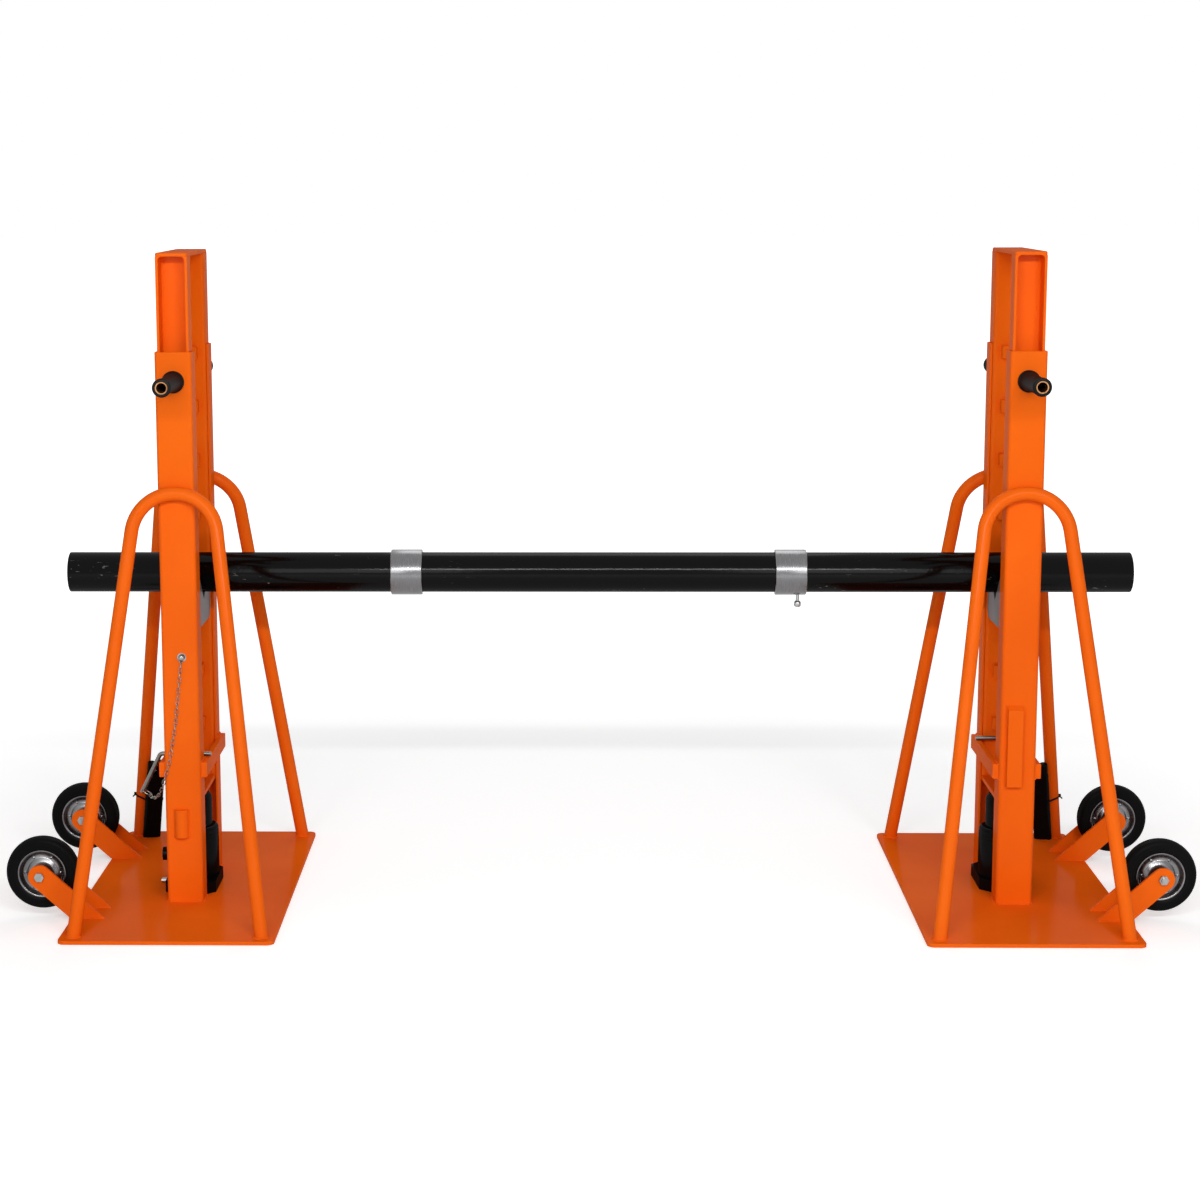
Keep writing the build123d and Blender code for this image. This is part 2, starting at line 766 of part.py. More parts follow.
def pin_eye(side):
    """Middle of the hole near the end of the pin's leg."""
    corner = Vector(pin_bend_side, -pin_lug_distance, pin_height)
    return corner + leg_direction_for(side) * (pin_leg_length - pin_eye_from_end)


for side, place in places.items():
    leg_end = pin_eye(side) + leg_direction_for(side) * pin_eye_from_end
    with BuildPart() as safety_pin:
        with BuildLine() as pin_path:
            FilletPolyline(
                (pin_tip_side, -pin_lug_distance, pin_height),
                (pin_bend_side, -pin_lug_distance, pin_height),
                leg_end,
                radius=pin_bend_radius,
            )
        with BuildSketch(Plane(origin=pin_path.line @ 0, z_dir=pin_path.line % 0)):
            Circle(pin_radius)
        sweep(path=pin_path.line)
        with BuildSketch(Plane(origin=pin_eye(side), x_dir=(1, 0, 0), z_dir=(0, 1, 0))):
            Circle(pin_eye_radius)
        extrude(amount=2 * pin_radius, both=True, mode=Mode.SUBTRACT)
    save(safety_pin.part, f"safety_pin_{side}", place)

# Chain: welded links, each turned a quarter to the next, from the rivet on the front
# post to a ring through the hole in the pin's leg
link_pitch = link_length - 2 * link_wire - link_slack
link_bore_length = link_length - 2 * link_wire
link_bore_width = link_width - 2 * link_wire

for side, place in places.items():
    ring_angle = radians(ring_link_angles[side])
    ring_direction = Vector(*ring_directions[side])
    ring_middle = pin_eye(side) + ring_direction * ring_radius
    link_side = ring_direction * cos(ring_angle) - Vector(0, 1, 0) * sin(ring_angle)
    chain_end = ring_middle + link_side * (ring_radius - ring_overlap)
    with BuildLine():
        route = Spline(
            *chain_on_post, *chain_tails[side], chain_end,
            tangents=[Vector(0, 0, -1), link_side * -1],
        )
    link_count = 2 * ceil((route.length / link_pitch - 1) / 2) + 1
    link_step = route.length / link_count
    joints = [
        route.position_at(n * link_step, position_mode=PositionMode.LENGTH)
        for n in range(link_count + 1)
    ]
    with BuildPart() as pin_chain:
        for n, (start, end) in enumerate(zip(joints, joints[1:])):
            along = (end - start).normalized()
            depth_axis = Vector(0, 1, 0) - along * along.Y
            flat = depth_axis if n % 2 == 0 else along.cross(depth_axis)
            with BuildSketch(Plane(origin=(start + end) / 2, x_dir=along, z_dir=flat)):
                SlotOverall(link_length, link_width)
                SlotOverall(link_bore_length, link_bore_width, mode=Mode.SUBTRACT)
            extrude(amount=link_wire / 2, both=True)
        ring_plane = Plane(
            origin=ring_middle,
            x_dir=ring_direction,
            z_dir=ring_direction.cross(Vector(0, 1, 0)),
        )
        add(Solid.make_torus(ring_radius, ring_wire_radius, ring_plane))
        rivet_plane = Plane(
            origin=(rivet_side, -post_reach, rivet_height), x_dir=(1, 0, 0), z_dir=(0, -1, 0)
        )
        with BuildSketch(rivet_plane):
            Circle(rivet_washer_radius)
        extrude(amount=rivet_washer_thickness)
        with BuildSketch(rivet_plane):
            Circle(rivet_shank_radius)
        extrude(amount=rivet_washer_thickness + rivet_link_room)
        with BuildSketch(rivet_plane.offset(rivet_washer_thickness + rivet_link_room)):
            Circle(rivet_head_radius)
        extrude(amount=rivet_head_height, taper=rivet_head_taper)
    print(f"{side} chain", round(route.length, 1), "mm,", link_count, "links")
    save(pin_chain.part, f"pin_chain_{side}", place)

# Spindle: a plain tube
with BuildPart() as spindle:
    with BuildSketch(Plane.YZ.offset(-spindle_length / 2)):
        with Locations((0, spindle_height)):
            Circle(spindle_radius)
            Circle(spindle_radius - spindle_wall, mode=Mode.SUBTRACT)
    extrude(amount=spindle_length)
    chamfer(spindle.edges().filter_by(GeomType.CIRCLE), spindle_edge)
spindle.part.label = "spindle"
export_step(spindle.part, "parts/spindle.step")

# Locking sleeves. The right one's clamp screw points down, the left one's to the rear.
screw_directions = {"left": Vector(0, 1, 0), "right": Vector(0, 0, -1)}

for side, hand in (("left", -1), ("right", 1)):
    end_plane = Plane(
        origin=(hand * sleeve_inner_end, 0, spindle_height),
        x_dir=screw_directions[side] * -1,
        z_dir=(hand, 0, 0),
    )
    screw_x = hand * (sleeve_inner_end + screw_from_inner_end)
    outward = screw_directions[side]
    screw_start = spindle_radius + sleeve_bore_clearance
    screw_plane = Plane(
        origin=Vector(screw_x, 0, spindle_height) + outward * screw_start,
        x_dir=(1, 0, 0),
        z_dir=outward,
    )
    with BuildPart() as sleeve:
        with BuildSketch(end_plane):
            Circle(sleeve_radius)
            Circle(spindle_radius + sleeve_bore_clearance, mode=Mode.SUBTRACT)
        extrude(amount=sleeve_length)
        chamfer(sleeve.edges().filter_by(GeomType.CIRCLE), sleeve_edge)
        with BuildSketch(screw_plane):
            Circle(screw_neck_radius + screw_hole_clearance)
        extrude(amount=sleeve_radius, mode=Mode.SUBTRACT)
    sleeve.part.label = f"sleeve_{side}"
    export_step(sleeve.part, f"parts/sleeve_{side}.step")

    neck_end = sleeve_radius + screw_neck_length - screw_start
    with BuildPart() as clamp_screw:
        with BuildSketch(screw_plane):
            Circle(screw_neck_radius)
        extrude(amount=neck_end)
        with BuildSketch(screw_plane.offset(neck_end)):
            Circle(screw_head_radius)
        extrude(amount=screw_head_length)
        head_edges = clamp_screw.edges().filter_by(GeomType.CIRCLE).filter_by(
            lambda edge: abs(edge.radius - screw_head_radius) < 0.01
        )
        chamfer(head_edges, screw_edge)
    clamp_screw.part.label = f"clamp_screw_{side}"
    export_step(clamp_screw.part, f"parts/clamp_screw_{side}.step")

# Pump handle in two tubes, leaning with the rear hoop's outer leg and standing on the
# plate. On the right stand they lean on the same side as seen from the front.
leg_top = Vector(0, hoop_reach, hoop_top)
leg_foot = Vector(-hoop_foot_spread, hoop_foot_depth, plate_thickness)
leg_direction = Vector(
    hoop_slant * tan(leg_lean), (leg_top - leg_foot).Y, hoop_rise
).normalized()
handle_reaches = (
    hoop_tube_radius + handle_radius + 2 * handle_leg_gap,
    2 * handle_radius + handle_leg_gap,
)
handle_foot = leg_foot

with BuildPart() as pump_handle:
    for length, direction, reach in zip(handle_lengths, handle_directions, handle_reaches):
        step = Vector(cos(radians(direction)), sin(radians(direction)), 0)
        across = step - leg_direction * step.dot(leg_direction)
        stretch = reach / across.length
        handle_foot = handle_foot + step * stretch
        tilt_allowance = handle_radius * hypot(leg_direction.X, leg_direction.Y) / leg_direction.Z
        tube_start = handle_foot + leg_direction * (tilt_allowance / leg_direction.Z + weld_gap)
        with BuildSketch(Plane(origin=tube_start, z_dir=leg_direction)):
            Circle(handle_radius)
            Circle(handle_radius - handle_wall, mode=Mode.SUBTRACT)
        extrude(amount=length)

save(pump_handle.part, "pump_handle_left", left_place)
mirrored_handle = pump_handle.part.mirror(Plane.YZ)
save(mirrored_handle, "pump_handle_right", Location((stand_spacing / 2, 0, 0)))

print("mast width", mast_width, "web face", mast_web_face, "V apex", round(v_apex, 1))
print("leg lean", round(degrees(leg_lean), 2), "degrees")
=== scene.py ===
# %% [markdown]
# # Cable drum jack
# A cable drum jack is a pair of lifting stands with a spindle tube laid across them. This
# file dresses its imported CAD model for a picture: plates, channels and castings are copies
# of the CAD pieces with softer edges, and the round, rubber and welded pieces are modelled
# again here with Blender's own tools.

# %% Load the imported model
import bpy
import json
from math import asin, atan, cos, hypot, pi, radians, sin, tan
from mathutils import Matrix, Vector
from mathutils.geometry import interpolate_bezier


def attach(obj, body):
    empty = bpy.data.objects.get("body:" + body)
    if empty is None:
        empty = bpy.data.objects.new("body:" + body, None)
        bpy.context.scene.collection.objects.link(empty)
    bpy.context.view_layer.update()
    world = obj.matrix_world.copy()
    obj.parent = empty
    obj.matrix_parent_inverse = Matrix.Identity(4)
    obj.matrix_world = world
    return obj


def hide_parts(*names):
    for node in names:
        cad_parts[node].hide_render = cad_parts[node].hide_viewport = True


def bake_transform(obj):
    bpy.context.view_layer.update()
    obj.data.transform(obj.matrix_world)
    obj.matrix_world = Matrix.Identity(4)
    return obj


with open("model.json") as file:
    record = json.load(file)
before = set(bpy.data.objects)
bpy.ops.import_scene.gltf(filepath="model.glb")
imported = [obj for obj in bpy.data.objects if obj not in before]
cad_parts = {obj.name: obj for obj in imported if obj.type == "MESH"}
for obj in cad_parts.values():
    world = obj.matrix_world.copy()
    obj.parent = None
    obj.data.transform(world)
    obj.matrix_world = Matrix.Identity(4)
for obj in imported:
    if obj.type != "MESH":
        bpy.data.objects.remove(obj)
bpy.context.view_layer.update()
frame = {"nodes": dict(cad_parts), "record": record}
nodes = frame["nodes"]

# %% [markdown]
# ## Working habits
# Blender's operators act on whatever is selected, so each step starts from nothing
# selected. A finished piece keeps its place in its mesh and its object at the origin,
# so the small helpers below do that for every piece. The two stands are the same stand,
# one of them turned half round, so a piece is modelled once about the stand's own centre
# line and copied to both places.

# %% Helpers for making, placing and finishing pieces
STAND_MIDDLE = 0.9185
PLACES = {
    "left": Matrix.Translation((-STAND_MIDDLE, 0, 0)),
    "right": Matrix.Translation((STAND_MIDDLE, 0, 0)) @ Matrix.Rotation(pi, 4, "Z"),
}
STANDS = "stands"


def start_fresh():
    """Leave edit mode and deselect everything."""
    if bpy.context.object and bpy.context.object.mode != "OBJECT":
        bpy.ops.object.mode_set(mode="OBJECT")
    bpy.ops.object.select_all(action="DESELECT")


def pick(obj):
    """Make one object the selected and active one."""
    start_fresh()
    obj.select_set(True)
    bpy.context.view_layer.objects.active = obj


def edit_all():
    """Enter edit mode on the active piece with all of it selected."""
    bpy.ops.object.mode_set(mode="EDIT")
    bpy.ops.mesh.select_all(action="SELECT")


def leave_edit():
    """Go back to object mode."""
    bpy.ops.object.mode_set(mode="OBJECT")


def extrude(step):
    """Pull the selected points out by one step."""
    bpy.ops.mesh.extrude_region_move(TRANSFORM_OT_translate={"value": step})


def change(obj, kind, **settings):
    """Give a piece one modifier and apply it."""
    pick(obj)
    bpy.ops.object.modifier_add(type=kind)
    modifier = obj.modifiers[-1]
    for key, value in settings.items():
        setattr(modifier, key, value)
    bpy.ops.object.modifier_apply(modifier=modifier.name)


def bake_place(obj, place):
    """Move a piece and write the move into its mesh."""
    pick(obj)
    obj.matrix_world = place @ obj.matrix_world
    bpy.ops.object.transform_apply(location=True, rotation=True, scale=True)
    return obj


def bevel_edges(obj, width, segments=2, angle=35):
    """Round the sharp edges of a piece by a small amount."""
    change(obj, "BEVEL", width=width, segments=segments, limit_method="ANGLE",
           angle_limit=radians(angle))


def smooth(obj, angle=35):
    """Shade a piece smooth, with creases where faces meet at a sharper angle."""
    pick(obj)
    bpy.ops.object.shade_smooth_by_angle(angle=radians(angle))


def tidy_mesh(obj):
    """Merge doubled points and turn all faces outwards."""
    pick(obj)
    edit_all()
    bpy.ops.mesh.remove_doubles(threshold=1e-6)
    bpy.ops.mesh.normals_make_consistent(inside=False)
    leave_edit()


def join(pieces):
    """Join several meshes into the first one."""
    start_fresh()
    for piece in pieces:
        piece.select_set(True)
    bpy.context.view_layer.objects.active = pieces[0]
    bpy.ops.object.join()
    return pieces[0]


def fit(obj, name, body, material, replaced=()):
    """Name a piece, give it its finish, and let it ride on its body, if it has only one."""
    obj.name = obj.data.name = name
    if not obj.data.materials:
        obj.data.materials.append(material)
    if body:
        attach(obj, body)
    if replaced:
        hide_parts(*replaced)


def copy_of(obj, place):
    """A copy with its own mesh, moved to its place."""
    twin = obj.copy()
    twin.data = obj.data.copy()
    bpy.context.scene.collection.objects.link(twin)
    return bake_place(twin, place)


def fit_both(obj, name, material, body=STANDS, replaced=()):
    """Copy a piece of one stand to both stands; {side} in a name becomes left or right."""
    for side, place in PLACES.items():
        twin = copy_of(obj, place)
        gone = [node.format(side=side) for node in replaced]
        fit(twin, name.format(side=side), body.format(side=side), material, gone)
    bpy.data.objects.remove(obj)


# %% [markdown]
# ## Camera
# The photograph was taken from in front, a little above the spindle, with a moderate
# telephoto lens. These values come from matching the corners of the plates, posts and
# masts with their places in the picture. The picture is a part of a wider one, so the
# lens's own middle lies a little beside the picture's middle, and the shift says how far.

# %% Camera
CAMERA_PLACE = (-0.0646, -5.5244, 1.6039)
CAMERA_YAW = radians(-1.067)
CAMERA_PITCH = radians(9.016)
CAMERA_ROLL = radians(-0.142)
LENS = 74.98
SHIFT = (0.0638, -0.0234)
VIEW_DEPTH = 120.0

start_fresh()
bpy.ops.object.camera_add()
camera = bpy.context.object
camera.matrix_world = (
    Matrix.Translation(CAMERA_PLACE)
    @ Matrix.Rotation(-CAMERA_YAW, 4, "Z")
    @ Matrix.Rotation(pi / 2 - CAMERA_PITCH, 4, "X")
    @ Matrix.Rotation(CAMERA_ROLL, 4, "Z")
)
camera.data.lens = LENS
camera.data.shift_x, camera.data.shift_y = SHIFT
camera.data.clip_end = VIEW_DEPTH
bpy.context.scene.camera = camera
bpy.context.scene.view_settings.view_transform = "Standard"

# %% [markdown]
# ## Floor and light
# The product stands in a white studio. The floor is a wide pale sheet that turns white
# where the camera looks at it, also in a reflection, and still takes a soft shadow. A long
# strip lamp in front draws a narrow highlight along the spindle, and broad ones fill the
# shade.

# %% Floor, world and lamps
FLOOR_SIZE = 120.0
FLOOR_DROP = 0.0005
NEAR_GLOW = 0.45
WHITE_NEAR = 1.5
WHITE_FAR = 5.0
SKY_LIGHT = 0.27


def node_material(name):
    """An empty material with its Principled shader and output."""
    material = bpy.data.materials.new(name)
    material.use_nodes = True
    tree = material.node_tree
    return material, tree, tree.nodes["Principled BSDF"]


def looked_at(tree):
    """1 for rays that show a picture of the studio: straight, mirrored or through glass."""
    path = tree.nodes.new("ShaderNodeLightPath")
    total = path.outputs["Is Camera Ray"]
    for ray in ("Is Glossy Ray", "Is Transmission Ray"):
        adding = tree.nodes.new("ShaderNodeMath")
        adding.operation = "ADD"
        adding.use_clamp = True
        tree.links.new(total, adding.inputs[0])
        tree.links.new(path.outputs[ray], adding.inputs[1])
        total = adding.outputs["Value"]
    return total


start_fresh()
bpy.ops.mesh.primitive_plane_add(size=FLOOR_SIZE, location=(0, 0, -FLOOR_DROP))
floor = bpy.context.object
floor.name = "studio_floor"
bpy.ops.object.transform_apply(location=True)
floor_paint, tree, shader = node_material("studio_white")
shader.inputs["Base Color"].default_value = (0.9, 0.9, 0.9, 1)
shader.inputs["Roughness"].default_value = 0.9
shader.inputs["Specular IOR Level"].default_value = 0.1
shader.inputs["Emission Color"].default_value = (1, 1, 1, 1)
where = tree.nodes.new("ShaderNodeTexCoord")
reach = tree.nodes.new("ShaderNodeVectorMath")
reach.operation = "LENGTH"
far = tree.nodes.new("ShaderNodeMapRange")
far.inputs["From Min"].default_value = WHITE_NEAR
far.inputs["From Max"].default_value = WHITE_FAR
far.inputs["To Min"].default_value = NEAR_GLOW
far.inputs["To Max"].default_value = 1.0
glow = tree.nodes.new("ShaderNodeMath")
glow.operation = "MULTIPLY"
tree.links.new(where.outputs["Object"], reach.inputs[0])
tree.links.new(reach.outputs["Value"], far.inputs["Value"])
tree.links.new(far.outputs["Result"], glow.inputs[0])
tree.links.new(looked_at(tree), glow.inputs[1])
tree.links.new(glow.outputs["Value"], shader.inputs["Emission Strength"])
floor.data.materials.append(floor_paint)

world = bpy.data.worlds.new("studio_world")
bpy.context.scene.world = world
world.use_nodes = True
tree = world.node_tree
sky = tree.nodes["Background"]
sky.inputs["Color"].default_value = (1, 1, 1, 1)
sky.inputs["Strength"].default_value = SKY_LIGHT
seen = tree.nodes.new("ShaderNodeBackground")
seen.inputs["Color"].default_value = (1, 1, 1, 1)
seen.inputs["Strength"].default_value = 1.0
mix = tree.nodes.new("ShaderNodeMixShader")
tree.links.new(looked_at(tree), mix.inputs["Fac"])
tree.links.new(sky.outputs["Background"], mix.inputs[1])
tree.links.new(seen.outputs["Background"], mix.inputs[2])
tree.links.new(mix.outputs["Shader"], tree.nodes["World Output"].inputs["Surface"])

LAMPS = (
    ("strip_lamp", (0.3, -4.8, 3.0), (4.2, 0.12), 132),
    ("front_lamp_left", (-1.9, -5.0, 2.1), (1.9, 1.9), 34),
    ("front_lamp_right", (2.1, -5.0, 2.1), (1.9, 1.9), 34),
    ("back_lamp", (0.2, 3.2, 4.2), (2.5, 2.5), 38),
)
LAMP_AIM = Vector((0, 0, 0.6))
for name, place, size, power in LAMPS:
    start_fresh()
    bpy.ops.object.light_add(type="AREA", location=place)
    lamp = bpy.context.object
    lamp.name = name
    lamp.data.shape = "RECTANGLE"
    lamp.data.size, lamp.data.size_y = size
    lamp.data.energy = power
    aim = LAMP_AIM - Vector(place)
    lamp.rotation_euler = aim.to_track_quat("-Z", "Y").to_euler()
    print(name, "at", place, power, "W")

# %% [markdown]
# ## Finishes
# Every finish starts from a Principled shader. Noise on Object coordinates varies the
# colour and the gloss a little, and a bump gives the skin its grain: the slight ripple
# of sprayed paint, the fine rings of turned steel, the dull grain of rubber.

# %% Helpers for finishes


def add_node(tree, kind, **inputs):
    """A shader node with its inputs set by name."""
    made = tree.nodes.new(kind)
    for key, value in inputs.items():
        made.inputs[key.replace("_", " ")].default_value = value
    return made


def noise(tree, scale, detail=3.0, stretch=(1, 1, 1)):
    """Noise on Object coordinates; stretch squeezes it along X, Y or Z."""
    coordinates = tree.nodes.new("ShaderNodeTexCoord")
    mapping = add_node(tree, "ShaderNodeMapping", Scale=stretch)
    made = add_node(tree, "ShaderNodeTexNoise", Scale=scale, Detail=detail)
    tree.links.new(coordinates.outputs["Object"], mapping.inputs["Vector"])
    tree.links.new(mapping.outputs["Vector"], made.inputs["Vector"])
    return made.outputs["Fac"]


def ramp(tree, value, stops):
    """A colour ramp: stops are (position, colour)."""
    made = tree.nodes.new("ShaderNodeValToRGB")
    tree.links.new(value, made.inputs["Fac"])
    elements = made.color_ramp.elements
    while len(elements) < len(stops):
        elements.new(0.5)
    for element, (position, colour) in zip(elements, stops):
        element.position = position
        element.color = (*colour, 1)
    return made.outputs["Color"]


def level(tree, value, low, high, start=0.3, end=0.7):
    """Spread a noise value between two levels."""
    made = tree.nodes.new("ShaderNodeMapRange")
    tree.links.new(value, made.inputs["Value"])
    for key, number in (("From Min", start), ("From Max", end), ("To Min", low), ("To Max", high)):
        made.inputs[key].default_value = number
    return made.outputs["Result"]


def bump(tree, shader, value, depth, strength=0.5):
    """Raise the surface by a value, in metres of depth."""
    made = add_node(tree, "ShaderNodeBump", Strength=strength, Distance=depth)
    tree.links.new(value, made.inputs["Height"])
    tree.links.new(made.outputs["Normal"], shader.inputs["Normal"])


def painted(name, dark, light, gloss, metallic=0.0, grain=90, depth=0.0004, coat=0.1):
    """A paint whose colour drifts between two tones under a thin clear skin."""
    material, tree, shader = node_material(name)
    drift = noise(tree, 2.3)
    tree.links.new(ramp(tree, drift, ((0.35, dark), (0.65, light))), shader.inputs["Base Color"])
    roughness = level(tree, noise(tree, 14), gloss - 0.05, gloss + 0.07)
    tree.links.new(roughness, shader.inputs["Roughness"])
    shader.inputs["Metallic"].default_value = metallic
    shader.inputs["Specular IOR Level"].default_value = 0.0
    shader.inputs["Coat Weight"].default_value = coat
    shader.inputs["Coat Roughness"].default_value = gloss * 0.6
    bump(tree, shader, noise(tree, grain), depth, 0.35)
    return material


# %% Paints, steels and rubbers
orange = painted("orange_paint", (0.84, 0.118, 0.004), (0.93, 0.146, 0.007), 0.27, coat=0.08)
jack_black = painted("jack_black", (0.002, 0.002, 0.002), (0.005, 0.005, 0.005), 0.22, coat=0.10)
handle_black = painted("handle_black", (0.003, 0.003, 0.003), (0.005, 0.005, 0.005), 0.40,
                       coat=0.08)
saddle_grey = painted("saddle_grey", (0.13, 0.12, 0.12), (0.19, 0.18, 0.18), 0.46, metallic=0.4)
grip_rubber = painted("grip_rubber", (0.004, 0.004, 0.004), (0.009, 0.009, 0.009), 0.60,
                      grain=700, coat=0.16)
tyre_rubber = painted("tyre_rubber", (0.003, 0.003, 0.003), (0.006, 0.006, 0.006), 0.60,
                      grain=500, coat=0.08)


def steel(name, dark, light, gloss, stretch, scale=60, depth=0.0001):
    """A bare metal with fine marks drawn out in one direction."""
    material, tree, shader = node_material(name)
    marks = noise(tree, scale, 4, stretch)
    tree.links.new(ramp(tree, marks, ((0.3, dark), (0.7, light))), shader.inputs["Base Color"])
    tree.links.new(level(tree, marks, gloss - 0.06, gloss + 0.08), shader.inputs["Roughness"])
    shader.inputs["Metallic"].default_value = 1.0
    bump(tree, shader, marks, depth, 0.4)
    return material


turned_steel = steel("turned_steel", (0.13, 0.13, 0.135), (0.23, 0.23, 0.235), 0.22, (40, 1, 1),
                     depth=0.00003)
zinc = steel("zinc_plate", (0.24, 0.25, 0.25), (0.42, 0.43, 0.43), 0.26, (1, 1, 1), scale=40)
rim_zinc = steel("rim_zinc", (0.11, 0.11, 0.115), (0.25, 0.25, 0.255), 0.24, (1, 1, 1), scale=25)
pin_steel = steel("pin_steel", (0.13, 0.125, 0.115), (0.24, 0.23, 0.21), 0.36, (1, 30, 30))
chain_steel = steel("chain_steel", (0.10, 0.09, 0.075), (0.46, 0.43, 0.38), 0.24, (1, 1, 1),
                    scale=220)
ram_chrome = steel("ram_chrome", (0.42, 0.42, 0.43), (0.58, 0.58, 0.59), 0.12, (30, 30, 1))
copper_edge = steel("worn_tube_end", (0.30, 0.13, 0.05), (0.46, 0.24, 0.11), 0.38, (1, 1, 1))

# %% [markdown]
# The spindle is a long tube in black paint whose gloss varies a little from place to place. Pale
# streaks drawn out along it and gathered in patches are a painted highlight: they stand in for the
# grainy glints of the lamps on the paint, and are scattered all over the tube.

# %% Spindle paint
spindle_paint, tree, shader = node_material("spindle_paint")
# Painted highlight: pale grey streaks along the tube stand in for glints of light on the black
# paint.
glint_streaks = level(tree, noise(tree, 9, 8, (6, 26, 26)), 0, 1, 0.66, 0.70)
glint_patches = level(tree, noise(tree, 3.1, 2, (1.6, 4, 4)), 0, 1, 0.54, 0.66)
glint_mask = add_node(tree, "ShaderNodeMath")
glint_mask.operation = "MULTIPLY"
tree.links.new(glint_streaks, glint_mask.inputs[0])
tree.links.new(glint_patches, glint_mask.inputs[1])
BLACK, GLINT_GREY = (0.0012, 0.0012, 0.0012), (0.15, 0.145, 0.135)
paint_and_glints = ramp(tree, glint_mask.outputs[0], ((0.0, BLACK), (1.0, GLINT_GREY)))
tree.links.new(paint_and_glints, shader.inputs["Base Color"])
tree.links.new(level(tree, noise(tree, 30, 4), 0.30, 0.45), shader.inputs["Roughness"])
shader.inputs["Specular IOR Level"].default_value = 0.0
shader.inputs["Coat Weight"].default_value = 0.2
shader.inputs["Coat Roughness"].default_value = 0.13
bump(tree, shader, noise(tree, 150, 4), 0.0004, 0.4)
tree.links.new(shader.inputs["Normal"].links[0].from_socket, shader.inputs["Coat Normal"])

# %% [markdown]
# ## Plates, channels and castings
# The CAD model has these pieces with their right shape, but its corners are knife sharp and
# its bends are shaded flat. A real edge is broken with a file before it is painted, and the
# bent corner of a channel is smooth. So each piece is copied, its loose triangles are merged
# and dissolved into whole faces, its edges get a small bevel, and its normals are weighted by
# area, which keeps the large faces flat and rolls the light round the bends.

# %% Plates, channels and castings


def dressed(node, edge):
    """A copy of a CAD node with merged faces, broken edges and smooth bends."""
    start_fresh()
    obj = copy_of(nodes[node], Matrix.Identity(4))
    obj.parent = None
    obj.data.materials.clear()
    pick(obj)
    edit_all()
    bpy.ops.mesh.remove_doubles(threshold=2e-6)
    bpy.ops.mesh.dissolve_limited(angle_limit=radians(0.5))
    leave_edit()
    bevel_edges(obj, edge, angle=40)
    smooth(obj, 40)
    change(obj, "WEIGHTED_NORMAL")
    return obj


DRESSED = {
    "base_plate": (orange, 0.0005, "painted_plate"),
    "post_front": (orange, 0.0008, "front_post_channel"),
    "post_rear": (orange, 0.0008, "rear_post_channel"),
    "guide_bars": (orange, 0.0006, "guide_bar_pair"),
    "wheel_arms": (orange, 0.0008, "wheel_arm_bars"),
    "mast_channels": (orange, 0.0008, "mast_channel_pair"),
    "mast_ends": (orange, 0.0006, "mast_cap_and_foot"),
    "mast_lugs": (orange, 0.0008, "mast_lug_row"),
    "saddle": (saddle_grey, 0.0006, "spindle_saddle"),
    "axle_bolts": (zinc, 0.0004, "axle_bolt_sets"),
    "jack_base": (jack_black, 0.0008, "jack_casting"),
    "lever_socket": (jack_black, 0.0004, "pump_lever_socket"),
    "pump_plunger": (ram_chrome, 0.0003, "plunger_rod"),
    "release_valve": (zinc, 0.0003, "valve_screw"),
}
node_body = {
    node: body
    for body, members in frame["record"]["behaviour"]["bodies"].items()
    for node in members
}
for stem, (finish, edge, name) in DRESSED.items():
    for side in PLACES:
        node = f"{stem}_{side}"
        piece = dressed(node, edge)
        fit(piece, f"{name}_{side}", node_body[node], finish, (node,))
    print(name, len(piece.data.polygons), "faces each")

# %% [markdown]
# ## Turned pieces
# Anything round is turned on a lathe: an outline of half the section is drawn point by
# point with extrude, then spun round an axis. The outline lies in the XZ plane, with X as
# the radius and Z along the axis.

# %% Lathe


def draw_outline(outline):
    """A closed line through (x, z) points, drawn by extruding one point on."""
    start_fresh()
    bpy.ops.mesh.primitive_plane_add(size=0.01)
    obj = bpy.context.object
    edit_all()
    bpy.ops.mesh.merge(type="CENTER")
    here = Vector((outline[0][0], 0, outline[0][1]))
    bpy.ops.transform.translate(value=here)
    for radius, height in (*outline[1:], outline[0]):
        there = Vector((radius, 0, height))
        extrude(there - here)
        here = there
    bpy.ops.mesh.select_all(action="SELECT")
    bpy.ops.mesh.remove_doubles(threshold=1e-6)
    leave_edit()
    return obj


def lathe(outline, place, steps=64, edge=0.0, crease=35):
    """Spin a closed outline of (radius, height) points about Z, then move it to its place."""
    obj = draw_outline(outline)
    edit_all()
    bpy.ops.mesh.spin(steps=steps, angle=2 * pi, center=(0, 0, 0), axis=(0, 0, 1))
    leave_edit()
    tidy_mesh(obj)
    if edge:
        bevel_edges(obj, edge)
    smooth(obj, crease)
    return bake_place(obj, place)


def facing(point, direction):
    """The place that sends the lathe's Z axis along a direction from a point."""
    turn = Vector(direction).to_track_quat("Z", "Y").to_matrix().to_4x4()
    return Matrix.Translation(point) @ turn


# %% Spindle
SPINDLE_RADIUS = 0.04445
SPINDLE_WALL = 0.005
SPINDLE_HALF = 1.184
SPINDLE_HEIGHT = 0.727
bore = SPINDLE_RADIUS - SPINDLE_WALL
spindle = lathe(
    (
        (SPINDLE_RADIUS, -SPINDLE_HALF), (SPINDLE_RADIUS, 0), (SPINDLE_RADIUS, SPINDLE_HALF),
        (bore, SPINDLE_HALF), (bore, -SPINDLE_HALF),
    ),
    facing((0, 0, SPINDLE_HEIGHT), (1, 0, 0)), steps=96, edge=0.0012,
)
fit(spindle, "spindle_tube", "spindle", spindle_paint, ("spindle",))

# %% [markdown]
# The locking sleeves are turned from bright bar and sit on each side of the drum. A
# screw with a round head pinches each one to the tube.

